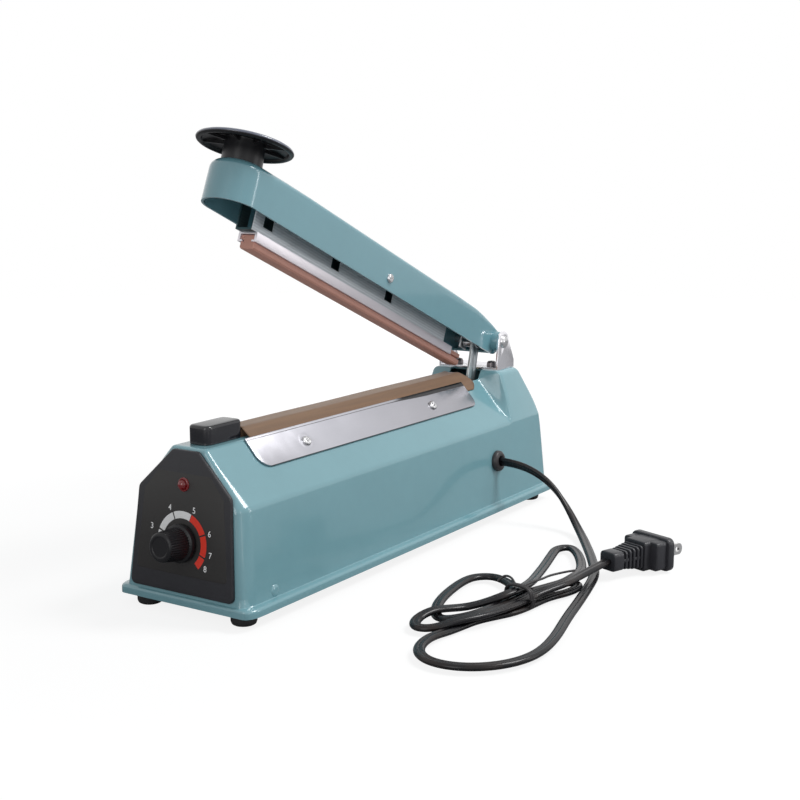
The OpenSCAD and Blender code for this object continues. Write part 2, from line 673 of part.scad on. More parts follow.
module front_block() {
    r = 3;
    c = bar_front - block_l / 2;
    color("#2a2a2c") translate([0, c, ridge_z]) difference() {
        union() {
            linear_extrude(block_h - 1) rounded_rect(block_w, block_l, r);
            linear_extrude(block_h) rounded_rect(block_w - 2, block_l - 2, r - 1);
        }
        translate([0, terminal_front_y - c, -1]) cylinder(r = terminal_r + 2.2, h = ribbon_z - ridge_z + 2);
        translate([-ribbon_w / 2 - 0.5, terminal_front_y - c, -1])
            cube([ribbon_w + 1, block_l, ribbon_z + ribbon_t + 0.5 - ridge_z + 1]);
    }
}

// ---- Hinge ----
bracket_front = pin_y - 8;
ear_x = ear_w / 2 - ear_t;
module ear_shape() {
    low = deck_z;
    polygon([[-8, low], [ear_l - 8, low], [ear_l - 8, low + 5], [ear_r, pin_z + 1], [-ear_r, pin_z + 1], [-8, low + 3]]);
    translate([0, pin_z]) circle(ear_r);
}
module hinge_bracket() {
    color("gainsboro") difference() {
        union() {
            for (x = [-ear_w / 2, ear_x]) translate([x, pin_y, 0]) rotate([90, 0, 90]) linear_extrude(ear_t) ear_shape();
            translate([-ear_w / 2, bracket_front, deck_z]) cube([ear_w, ear_l, ear_t]);
        }
        translate([-ear_w, pin_y, pin_z]) rotate([0, 90, 0]) cylinder(r = pin_r, h = 2 * ear_w);
        for (sx = [-1, 1]) translate([sx * bracket_hole_x, bracket_hole_y, 0])
            cylinder(r = screw_r + screw_play, h = deck_z + 10);
    }
}
module bracket_screws() {
    color("#3c3a3a") for (sx = [-1, 1]) translate([sx * bracket_hole_x, bracket_hole_y, 0]) {
        translate([0, 0, deck_z - 6]) cylinder(r = screw_r, h = 6 + ear_t);
        translate([0, 0, deck_z + ear_t]) rotate_extrude()
            polygon([[0, 0], [3.2, 0], [3.2, 2.6], [2.4, 3.4], [0, 3.4]]);
    }
}
module hinge_pin() {
    head = 1.6;
    color("silver") translate([-ear_w / 2 - head, pin_y, pin_z]) rotate([0, 90, 0]) {
        cylinder(r = pin_r, h = ear_w + 2 * head);
        cylinder(r = pin_r + 1.6, h = head);
        translate([0, 0, ear_w + head]) cylinder(r = pin_r + 1.6, h = head);
    }
}

// ---- Arm, drawn closed and level ----
module swung(angle = -open_angle) {
    translate([0, pin_y, pin_z]) rotate([angle, 0, 0]) translate([0, -pin_y, -pin_z]) children();
}
arm_low = pin_z - arm_drop;
arm_top = arm_low + arm_h;
nose_y = bar_front - 14.5;
cheek_x = ear_x - cheek_gap;
flare_y = pin_y - 5;
slant_y = pin_y - 25;
module arm_side(g) {
    top = arm_top - g;
    low = g > 0 ? arm_low - 5 : arm_low;
    r = tail_r - g;
    tail = [for (i = [0:g > 0 ? 8 : 16]) [pin_y + r * sin(i * 11.25), pin_z + r * cos(i * 11.25)]];
    polygon(concat([[nose_y - arm_w, low], [nose_y - arm_w, top], [slant_y, top]], tail,
        [[g > 0 ? pin_y + r : pin_y, low]]));
}
module arm_plan(g) {
    hw = arm_w / 2 - g;
    cw = cheek_x - g;
    half = [[hw, nose_y], [hw, flare_y - 3 + g], [cw, flare_y + g], [cw, pin_y + 30]];
    translate([0, nose_y]) circle(hw);
    polygon(concat(half, [for (i = [3:-1:0]) [-half[i][0], half[i][1]]]));
}
module arm_form(g) {
    intersection() {
        translate([-60, 0, 0]) rotate([90, 0, 90]) linear_extrude(120) arm_side(g);
        linear_extrude(arm_top + 20) arm_plan(g);
    }
}
rock_y = pin_y - 134;
rock_z = pin_z - rock_drop;
module arm_shell() {
    color("cadetblue") swung() difference() {
        arm_form(0);
        arm_form(arm_t);
        translate([-40, pin_y, pin_z]) rotate([0, 90, 0]) cylinder(r = pin_r + run_play, h = 80);
        translate([-40, rock_y, rock_z]) rotate([0, 90, 0]) cylinder(r = rock_r, h = 80);
        translate([0, nose_y, arm_top - 6]) cylinder(r = handle_screw_r + screw_play, h = 12);
    }
}
handle_screw_r = 2.5;
// The handle stands on the arm's nose and leans a little forward of square to it.
module on_nose() { swung() translate([0, nose_y, arm_top]) rotate([stem_tilt, 0, 0]) children(); }
module handle_knob() {
    rib_n = 8;
    skin = 2.4;
    color("#1e1e20") on_nose() difference() {
        union() {
            translate([0, 0, -0.7]) cylinder(r = stem_r, h = stem_h + 3);
            translate([0, 0, stem_h]) rotate_extrude() polygon([[0, disc_t - skin], [disc_r - 3, disc_t - skin],
                [disc_r - 3, 0.6], [disc_r - 2, 0], [disc_r - 0.8, 0.5], [disc_r, 2], [disc_r - 0.3, 4],
                [disc_r - 2, disc_t - 1.2], [disc_r - 5, disc_t - 0.2], [disc_r / 2, disc_t + 0.8], [0, disc_t + 1.2]]);
            for (i = [0:rib_n - 1]) rotate(i * 360 / rib_n) translate([stem_r - 1, -0.7, stem_h + 1.2])
                cube([disc_r - stem_r - 1.6, 1.4, disc_t - skin - 0.6]);
        }
        translate([0, 0, -2]) cylinder(r = handle_screw_r, h = 14);
        swung_flat();
    }
}
// Space below the arm's top face, in the handle's own frame, so that the stem ends flush on it.
module swung_flat() { rotate([-stem_tilt, 0, 0]) translate([-40, -40, -20]) cube([80, 80, 20]); }
module handle_screw() {
    color("silver") on_nose() translate([0, 0, -arm_t - 3.2]) {
        cylinder(r = handle_screw_r, h = arm_t + 14);
        cylinder(r = 4.6, h = 2.6);
    }
}
rock_r = 1.6;
module rocking_screw() {
    half = arm_w / 2;
    color("whitesmoke") swung() translate([-half - 1.4, rock_y, rock_z]) rotate([0, 90, 0]) {
        cylinder(r = rock_r, h = 2 * half + 2.8);
        cylinder(r = rock_r + 1.1, h = 1.4);
        translate([0, 0, 2 * half + 1.4]) cylinder(r = rock_r + 1.1, h = 1.4);
    }
}

// ---- Press bar, also drawn closed and level with the arm ----
// It rocks on its screw, so it comes down level while the arm still leans up by shut_lean.
shut_lean = asin((cloth_top + shut_gap - pin_z + rubber_drop) / (pin_y - rock_y));
swing = open_angle - shut_lean;
rubber_low = pin_z - rubber_drop;
rubber_front = bar_front + 3.5;
channel_low = rubber_low + rubber_show;
channel_top = channel_low + channel_h;
rubber_rear = bar_rear + 12;
module rubber_strip() {
    neck = rubber_w - 4;
    grip = rubber_h - rubber_show - 1;
    color("#7d4a3a") swung() along_bar(rubber_front, rubber_rear - rubber_front) {
        translate([-rubber_w / 2 + 0.6, rubber_low]) square([rubber_w - 1.2, rubber_show]);
        translate([-rubber_w / 2, rubber_low + 0.6]) square([rubber_w, rubber_show - 0.6]);
        translate([-neck / 2, rubber_low + rubber_show - eps]) square([neck, 1 + 2 * eps]);
        translate([-rubber_w / 2, rubber_low + rubber_show + 1]) square([rubber_w, grip]);
    }
}
lip = 1.6;
module press_bar_channel() {
    hw = channel_w / 2;
    color("#d8d4d8") swung() difference() {
        along_bar(rubber_front - 1, rubber_rear - rubber_front - 13) difference() {
            translate([-hw, channel_low]) square([channel_w, channel_h]);
            translate([-rubber_w / 2 - 0.1, channel_low + 1]) square([rubber_w + 0.2, channel_h - 1 - strip_t]);
            translate([-hw + lip + 1.3, channel_low - 1]) square([channel_w - 2 * lip - 2.6, 3]);
        }
        for (y = rivet_ys) translate([0, y, channel_low]) cylinder(r = 1.5, h = 10);
    }
}
carrier_front = rubber_front - 5;
carrier_rear = rubber_rear - 25;
carrier_hw = channel_w / 2 - 0.4;
notch_ys = [carrier_front + 7.5, carrier_front + 70.5, carrier_front + 127.5];
rivet_ys = [carrier_front + 22, (carrier_front + carrier_rear) / 2 + 10, carrier_rear - 20];
module press_bar_carrier() {
    color("#8d8f92") swung() difference() {
        along_bar(carrier_front, carrier_rear - carrier_front) difference() {
            translate([-carrier_hw, channel_top]) square([2 * carrier_hw, carrier_h]);
            translate([-carrier_hw + strip_t, channel_top + strip_t]) square([2 * (carrier_hw - strip_t), carrier_h]);
        }
        for (y = notch_ys) translate([-20, y, channel_top + 4]) cube([40, 8.6, carrier_h]);
        translate([-20, rock_y, rock_z]) rotate([0, 90, 0]) cylinder(r = rock_r + run_play, h = 40);
        for (y = rivet_ys) translate([0, y, channel_top - 1]) cylinder(r = 1.5, h = 5);
    }
}
module channel_rivets() {
    color("silver") swung() for (y = rivet_ys) translate([0, y, channel_top]) {
        translate([0, 0, -strip_t]) cylinder(r = 1.5, h = 2 * strip_t);
        translate([0, 0, strip_t]) cylinder(r = 2.6, h = 0.9);
    }
}

// ---- Strap, spring and switch ----
// The strap hangs from the arm ahead of the pin, so it sinks as the arm comes down.
strap_pin_y = pin_y - strap_ahead;
strap_pin_z = pin_z - 0.5;
strap_pin_r = 1.8;
module at_strap_pin() { translate([0, strap_pin_y, strap_pin_z]) children(); }
// The same pin as seen from the arm drawn level.
function level(p) = let (dy = p[0] - pin_y, dz = p[1] - pin_z)
    [pin_y + dy * cos(open_angle) - dz * sin(open_angle), pin_z + dy * sin(open_angle) + dz * cos(open_angle)];
strap_level = level([strap_pin_y, strap_pin_z]);
// Underside of the arm's top, which slopes down towards the tail.
function arm_roof(y) = arm_top - arm_t - max(0, y - slant_y) / (pin_y - slant_y) * (arm_top - pin_z - tail_r);
module strap_bracket() {
    y = strap_level[0];
    z = strap_level[1];
    color("silver") swung() difference() {
        translate([strap_x - 8.5, 0, 0]) union() {
            rotate([90, 0, 90]) linear_extrude(1.2) polygon([[y - 4, z - 4], [y + 4, z - 4],
                [y + 4, arm_roof(y + 4)], [slant_y, arm_roof(slant_y)], [slant_y - 12, arm_roof(slant_y)],
                [slant_y - 12, arm_roof(slant_y) - 4], [y - 4, z + 6]]);
            translate([0, slant_y - 12, arm_roof(slant_y) - 1.2]) cube([7, 12, 1.2]);
        }
        translate([-20, y, z]) rotate([0, 90, 0]) cylinder(r = strap_pin_r, h = 40);
    }
}
module strap_pin() {
    color("gainsboro") at_strap_pin() translate([strap_x - 8.5, 0, 0]) rotate([0, 90, 0]) {
        cylinder(r = strap_pin_r, h = 8.5 + strap_t + 1.4);
        translate([0, 0, 1.4]) cylinder(r = strap_pin_r + 0.8, h = 6.7);
        translate([0, 0, 8.5 + strap_t + 0.2]) cylinder(r = strap_pin_r + 0.9, h = 1.2);
    }
}
tab_l = 10;
module pull_strap() {
    color("#8b9294") at_strap_pin() rotate([-strap_lean, 0, 0]) difference() {
        union() {
            translate([strap_x, -strap_w / 2, -strap_l]) cube([strap_t, strap_w, strap_l]);
            translate([strap_x, 0, 0]) rotate([0, 90, 0]) cylinder(r = strap_w / 2, h = strap_t);
            translate([strap_x + strap_t - tab_l - 4, -strap_w / 2, -strap_l]) cube([tab_l + 4, strap_w, strap_t]);
        }
        translate([strap_x - 1, 0, 0]) rotate([0, 90, 0]) cylinder(r = strap_pin_r + run_play, h = 10);
    }
}
// Middle of the tab's underside, and the spring that stands under it.
tab_y = strap_pin_y - strap_l * sin(strap_lean);
tab_z = strap_pin_z - strap_l * cos(strap_lean);
seat_z = foot_h + floor_t + 6;
spring_x = strap_x + strap_t - tab_l / 2 - 3;
spring_top = tab_z - strap_w / 2 * sin(strap_lean) - 0.2;
spring_turns = 7;
module return_spring() {
    n = 14;
    h = spring_top - seat_z - 2 * coil_wire;
    color("silver") tube([for (i = [0:spring_turns * n]) let (t = i / (spring_turns * n))
        [spring_x + coil_r * cos(360 * i / n), tab_y + coil_r * sin(360 * i / n), seat_z + coil_wire + h * t]],
        coil_wire, 6);
}
module spring_bracket() {
    color("lightgray") {
        translate([spring_x - 8, tab_y - 8, foot_h + floor_t]) cube([16, 16, 1.4]);
        translate([spring_x, tab_y, foot_h + floor_t]) cylinder(r = coil_r - coil_wire - 0.5, h = seat_z - foot_h - floor_t + 8);
        translate([spring_x, tab_y, foot_h + floor_t]) cylinder(r = coil_r + 1.4, h = seat_z - foot_h - floor_t);
    }
}
// The switch stands ahead of the spring: the strap's front edge presses its button.
switch_l = 20;
switch_w = 6.4;
switch_h = 10;
switch_behind = 2.4;
button_x = strap_x + strap_t / 2 - 1;
button_y = tab_y - strap_w / 2 * cos(strap_lean) - 2.4;
module micro_switch() {
    color("#1d1d1f") difference() {
        union() {
            translate([button_x - switch_w / 2, button_y + switch_behind - switch_l, switch_top - switch_h])
                cube([switch_w, switch_l, switch_h]);
            translate([button_x - switch_w / 2, button_y + switch_behind - switch_l, foot_h + floor_t])
                cube([switch_w, 4, switch_top - switch_h - foot_h - floor_t + eps]);
        }
        translate([button_x, button_y, switch_top - 4]) cylinder(r = button_r + run_play, h = 10);
    }
}
button_r = 1.2;
button_up = 1.6;
strap_sink = strap_ahead * sin(swing) + 0.4;
switch_top = tab_z + 1.6 - strap_sink - button_up;
module switch_button() {
    color("white") translate([button_x, button_y, switch_top - 2]) cylinder(r = button_r, h = 2 + button_up - 0.3);
}

// ---- Mains cord ----
module cord_grommet() {
    color("#1a1a1a") translate([grommet_x, grommet_y, grommet_z]) rotate([0, 90 - side_draft, 0]) rotate_extrude() difference() {
        polygon([[cord_w / 2 + cord_play, -4], [grommet_bore - 0.05, -4], [grommet_bore - 0.05, 0.1], [grommet_r, 0.1],
            [grommet_r, 2], [grommet_r - 1.4, 3.6], [cord_w / 2 + cord_play, 3.6]]);
    }
}
module cord_clip() {
    color("ivory") translate([grommet_x - 12, grommet_y - 5, grommet_z - 5]) difference() {
        cube([6, 10, 10]);
        translate([-1, 5, 5]) rotate([0, 90, 0]) cylinder(r = cord_w / 2, h = 10);
    }
}
cord_r = cord_w / 2;
cord_play = 0.35;
cord_start = [[grommet_x - 14, grommet_y, grommet_z], [grommet_x - 4, grommet_y, grommet_z], [grommet_x + 6, grommet_y, grommet_z]];
// The lead falls from the grommet to the bench and runs round to the hank.
lead_route = [[55.9, 101.2, 35.5], [66.2, 101.9, 31.6], [75.4, 101.9, 25.7], [83.5, 100.4, 18.4], [91, 96.8, 11.3],
    [98.3, 90.4, 6.2], [105.1, 82.2, 3.9], [117.3, 63.9, 3], [128.8, 45.1, 3], [139.6, 26, 3], [148, 5.7, 3],
    [153.7, -15.6, 3], [158.9, -36.9, 3], [163.9, -58.3, 3], [169.5, -79.6, 3], [173.3, -101.2, 3], [173.2, -112.2, 3],
    [170.4, -122.8, 3], [164.8, -132.2, 3], [156.6, -139.5, 3], [146.4, -143.4, 3], [135.6, -142.3, 3], [127.1, -135.6, 3],
    [123.6, -127.8, 3]];
module cord_lead() { color("#1b1b1d") tube(spline(concat(cord_start, lead_route), 2), cord_r); }
// Outline of the bundle: loops on both sides of the tie.
hank_h = 12;
module stadium(a, b, r) { hull() { translate(a) circle(r, $fn = rib_fn); translate(b) circle(r, $fn = rib_fn); } }
module cord_hank() {
    color("#1b1b1d") linear_extrude(hank_h) union() {
        stadium([113, 46], [122, -14], 9.5);
        stadium([129, 12], [131, -40], 12);
        stadium([107, -40], [117, -88], 17);
        stadium([115, -100], [115, -113], 13);
    }
}
tail_route = [[145.8, -36, 7], [146.8, -24, 8.8], [147.2, -13, 9], [148.1, -2, 9.4], [149.2, 8.5, 9.8]];
module cord_tail() { color("#1b1b1d") tube(spline(concat(tail_route, [plug_at]), 2), cord_r); }
module twist_tie() {
    color("#111111") translate([134, -51, 0]) rotate([0, 0, -8]) difference() {
        translate([-9, -1.5, 0]) cube([18, 3, hank_h + 1]);
        translate([-8, -3, -1]) cube([16, 6, hank_h + 1.2]);
    }
}
plug_at = [150, 20, 10];
plug_turn = -20;
module at_plug() { translate(plug_at) rotate([0, 0, plug_turn]) children(); }
module plug_block(y, l, w, h) { translate([-w / 2, y, -h / 2]) cube([w, l, h]); }
plug_face = 38;
module plug_body() {
    color("#202022") at_plug() difference() {
        union() {
            plug_block(0, 13, 11.5, 10.5);
            plug_block(12, 10, 9.6, 9.2);
            plug_block(14, 21, 15.4, 16.6);
            plug_block(24, 11, 20, 14.6);
            plug_block(plug_face - 4.6, 4.6, 28.4, 18.6);
        }
        translate([0, -1, 0]) rotate([-90, 0, 0]) cylinder(r = cord_r, h = 4);
    }
}
module plug_blades() {
    color("silver") at_plug() for (sx = [-1, 1]) difference() {
        translate([sx * 6.35 - 0.75, plug_face, -3.15]) cube([1.5, 16, 6.3]);
        translate([sx * 6.35 - 2, plug_face + 12.2, 0]) rotate([0, 90, 0]) cylinder(r = 1.6, h = 4);
    }
}

housing();
floor_plate();
rubber_feet();
foot_screws();
foot_nuts();
control_panel();
panel_label();
pilot_lamp();
lamp_holder();
timer_knob();
timer_shaft();
timer_control();
timer_nut();
circuit_board();
board_components();
board_spacers();
transformer_core();
transformer_coil();
transformer_frame();
transformer_screws();
terminal_block();
heater_bar();
heater_tape();
heating_ribbon();
front_terminal();
rear_terminal();
heater_leads();
cover_cloth();
clamp_plate_right();
clamp_plate_left();
clamp_screws();
front_block();
hinge_bracket();
bracket_screws();
hinge_pin();
arm_shell();
handle_knob();
handle_screw();
rocking_screw();
strap_bracket();
strap_pin();
pull_strap();
press_bar_carrier();
press_bar_channel();
rubber_strip();
channel_rivets();
return_spring();
spring_bracket();
micro_switch();
switch_button();
cord_grommet();
cord_clip();
cord_lead();
cord_hank();
cord_tail();
twist_tie();
plug_body();
plug_blades();
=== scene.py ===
import math
import bpy, bmesh
import numpy as np
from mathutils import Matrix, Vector


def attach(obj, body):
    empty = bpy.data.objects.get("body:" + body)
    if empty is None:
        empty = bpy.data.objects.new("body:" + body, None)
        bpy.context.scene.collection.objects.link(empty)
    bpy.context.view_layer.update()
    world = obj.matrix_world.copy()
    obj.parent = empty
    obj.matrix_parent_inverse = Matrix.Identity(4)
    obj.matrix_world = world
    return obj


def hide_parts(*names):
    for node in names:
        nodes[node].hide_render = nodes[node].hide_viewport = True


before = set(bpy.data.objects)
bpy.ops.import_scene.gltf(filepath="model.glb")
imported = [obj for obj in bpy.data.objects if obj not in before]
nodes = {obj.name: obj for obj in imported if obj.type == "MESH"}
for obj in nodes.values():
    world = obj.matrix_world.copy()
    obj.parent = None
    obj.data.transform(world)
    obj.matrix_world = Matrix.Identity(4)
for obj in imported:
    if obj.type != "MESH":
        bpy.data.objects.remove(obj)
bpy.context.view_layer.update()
mm = 0.001  # the script's lengths are in millimetres unless a note says metres
print("frame loaded:", len(nodes), "nodes")


def linked(name, data):
    # a new object in the scene
    made = bpy.data.objects.new(name, data)
    bpy.context.scene.collection.objects.link(made)
    return made


# camera: lens and sensor in millimetres, place in metres, turn to the left and fall below level in degrees
view = {"lens": 60.27, "sensor": 36.0, "at": (0.435385, -0.627525, 0.220132), "turn": 32.902, "fall": 9.871}
camera = linked("camera", bpy.data.cameras.new("camera"))
camera.data.sensor_width, camera.data.lens = view["sensor"], view["lens"]
viewTurn, viewFall = math.radians(view["turn"]), math.radians(view["fall"])
viewLine = Vector((-math.sin(viewTurn) * math.cos(viewFall), math.cos(viewTurn) * math.cos(viewFall),
                   -math.sin(viewFall)))
camera.location = view["at"]
camera.rotation_euler = viewLine.to_track_quat("-Z", "Y").to_euler()
bpy.context.scene.camera = camera
bpy.context.scene.view_settings.view_transform = "Standard"
print("camera placed")


def unit(v):
    return v / np.maximum(np.linalg.norm(v, axis=-1, keepdims=True), 1e-12)


def splinePath(points, steps):
    # Catmull-Rom: each stretch is a cubic through its two ends, with slopes from the neighbours
    p = np.asarray(points, float)
    i = np.arange(len(p) - 1)
    a, b, c, d = p[np.maximum(i - 1, 0)], p[i], p[i + 1], p[np.minimum(i + 2, len(p) - 1)]
    t = (np.arange(steps) / steps)[None, :, None]
    a, b, c, d = (q[:, None, :] for q in (a, b, c, d))
    q = 0.5 * (2 * b + t * (c - a) + t ** 2 * (2 * a - 5 * b + 4 * c - d) + t ** 3 * (3 * b - a - 3 * c + d))
    return np.vstack([q.reshape(-1, p.shape[1]), p[-1:]])


def gridFaces(rows, cols, closeCols=False):
    # quads between neighbouring rows and columns of a grid of points, wrapping round where the columns close
    r = np.arange(rows - 1)[:, None]
    c = np.arange(cols if closeCols else cols - 1)[None, :]
    c2 = (c + 1) % cols
    return np.stack([r * cols + c, (r + 1) * cols + c, (r + 1) * cols + c2, r * cols + c2], -1).reshape(-1, 4)


def tubeFaces(rows, cols):
    # a closed tube of rings, with one face over each end
    ends = [list(range(cols))[::-1], list(range((rows - 1) * cols, rows * cols))]
    return gridFaces(rows, cols, closeCols=True).tolist() + ends


def meshPiece(name, points, faces, edge=34, merge=0.02, uv=None):
    # near points are merged, faces made to point outwards, and edges sharper than edge degrees kept sharp
    mesh = bpy.data.meshes.new(name)
    mesh.from_pydata((np.asarray(points, float).reshape(-1, 3) * mm).tolist(), [],
                     [list(map(int, f)) for f in faces])
    if uv is not None:
        index = np.empty(len(mesh.loops), np.int32)
        mesh.loops.foreach_get("vertex_index", index)
        cornerUv = np.asarray(uv, float).reshape(-1, 2)[index]
        mesh.uv_layers.new(name="own_map").data.foreach_set("uv", cornerUv.ravel())
    work = bmesh.new()
    work.from_mesh(mesh)
    bmesh.ops.remove_doubles(work, verts=work.verts, dist=merge * mm)
    bmesh.ops.dissolve_degenerate(work, edges=work.edges, dist=merge * mm * 0.5)
    bmesh.ops.recalc_face_normals(work, faces=work.faces)
    work.to_mesh(mesh)
    work.free()
    mesh.shade_smooth()
    if edge:
        mesh.set_sharp_from_angle(angle=math.radians(edge))
    return linked(name, mesh)


def finishPiece(piece, body, material, replaces=()):
    piece.data.materials.clear()
    piece.data.materials.append(material)
    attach(piece, body)
    if replaces:
        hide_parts(*replaces)
    return piece


def evaluatedMesh(piece):
    bpy.context.view_layer.update()
    return bpy.data.meshes.new_from_object(piece.evaluated_get(bpy.context.evaluated_depsgraph_get()))


def applyModifiers(piece):
    # keeps the evaluated mesh and drops the modifiers
    made = evaluatedMesh(piece)
    piece.modifiers.clear()
    piece.data = made
    return piece


def joinPieces(name, pieces):
    # one mesh from several
    work = bmesh.new()
    for p in pieces:
        work.from_mesh(p.data)
    mesh = bpy.data.meshes.new(name)
    work.to_mesh(mesh)
    work.free()
    for p in pieces:
        bpy.data.objects.remove(p)
    return linked(name, mesh)


def vertexPoints(mesh):
    # in metres
    co = np.empty(len(mesh.vertices) * 3, np.float32)
    mesh.vertices.foreach_get("co", co)
    return co.reshape(-1, 3).astype(float)


def turnedAbout(points, axis, degrees, centre=(0, 0, 0)):
    # rotation matrix about a coordinate axis, applied about a centre
    c, s = math.cos(math.radians(degrees)), math.sin(math.radians(degrees))
    turns = {"x": [[1, 0, 0], [0, c, -s], [0, s, c]], "y": [[c, 0, s], [0, 1, 0], [-s, 0, c]],
             "z": [[c, -s, 0], [s, c, 0], [0, 0, 1]]}
    return (np.asarray(points, float) - centre) @ np.array(turns[axis]).T + centre


class Sock:
    # a node's output; arithmetic on it adds Math nodes
    def __init__(self, finish, socket):
        self.finish, self.socket = finish, socket

    def math(self, operation, *values, clamp=False):
        return self.finish.node("ShaderNodeMath", {"operation": operation, "use_clamp": clamp},
                                dict(enumerate(values)))

    def __add__(self, o): return self.math("ADD", self, o)
    def __radd__(self, o): return self.math("ADD", o, self)
    def __sub__(self, o): return self.math("SUBTRACT", self, o)
    def __rsub__(self, o): return self.math("SUBTRACT", o, self)
    def __mul__(self, o): return self.math("MULTIPLY", self, o)
    def __rmul__(self, o): return self.math("MULTIPLY", o, self)
    def __truediv__(self, o): return self.math("DIVIDE", self, o)
    def __rtruediv__(self, o): return self.math("DIVIDE", o, self)
    def __pow__(self, o): return self.math("POWER", self, o)
    def __rpow__(self, o): return self.math("POWER", o, self)
    def __abs__(self): return self.math("ABSOLUTE", self)

    def sine(self): return self.math("SINE", self)
    def cosine(self): return self.math("COSINE", self)
    def larger(self, o): return self.math("MAXIMUM", self, o)
    def smaller(self, o): return self.math("MINIMUM", self, o)
    def clamped(self): return self.math("ADD", self, 0.0, clamp=True)

    def between(self, low, high):
        # smooth step from 0 at low to 1 at high
        ends = {0: self, 1: low, 2: high, 3: 0.0, 4: 1.0}
        return self.finish.node("ShaderNodeMapRange", {"interpolation_type": "SMOOTHSTEP"}, ends)


class Finish:
    # one material; node() adds any node: settings first, then values or links of its sockets
    def __init__(self, name):
        self.material = bpy.data.materials.new(name)
        self.material.use_nodes = True
        self.tree = self.material.node_tree
        self.tree.nodes.clear()
        self.out = self.tree.nodes.new("ShaderNodeOutputMaterial")

    def node(self, kind, settings=None, sockets=None, pick=0):
        made = self.tree.nodes.new(kind)
        for key, value in (settings or {}).items():
            setattr(made, key, value)
        for key, value in (sockets or {}).items():
            self.feed(made.inputs[key], value)
        return Sock(self, made.outputs[pick])

    def feed(self, socket, value):
        if isinstance(value, Sock):
            self.tree.links.new(value.socket, socket)
        elif hasattr(value, "__len__") and len(value) == 3 and socket.type == "RGBA":
            socket.default_value = (*value, 1)
        else:
            socket.default_value = value

    def place(self, scale=(1, 1, 1), shift=(0, 0, 0)):
        # object coordinates in metres, shifted and scaled
        return self.node("ShaderNodeMapping", {},
                         {0: self.node("ShaderNodeTexCoord", pick=3), 1: shift, 3: scale})

    def axis(self, which, at):
        return self.node("ShaderNodeSeparateXYZ", {}, {0: at}, pick="XYZ".index(which))

    def noise(self, size, detail=3.0, rough=0.55, at=None, stretch=(1, 1, 1)):
        at = at or self.place(scale=tuple(s / (size * mm) for s in stretch))
        return self.node("ShaderNodeTexNoise", {},
                         {"Vector": at, "Scale": 1.0, "Detail": detail, "Roughness": rough})

    def mix(self, factor, a, b):
        return self.node("ShaderNodeMix", {"data_type": "RGBA"}, {0: factor, 6: a, 7: b}, pick=2)

    def tone(self, colour, share, amount):
        # colour made darker and lighter by share (0 to 1, 0.5 unchanged)
        times = lambda k: [min(c * k, 1) for c in colour]
        if isinstance(colour, Sock):
            times = lambda k: self.node("ShaderNodeVectorMath", {"operation": "SCALE"},
                                        {0: colour, "Scale": k})
        return self.mix(share, times(1 - amount), times(1 + amount))

    def bump(self, height, strength, distance):
        return self.node("ShaderNodeBump", {},
                         {"Height": height, "Strength": strength, "Distance": distance * mm})

    def shade(self, **values):
        shader = self.node("ShaderNodeBsdfPrincipled", {},
                           {k.replace("_", " "): v for k, v in values.items()})
        self.tree.links.new(shader.socket, self.out.inputs[0])
        return self.material


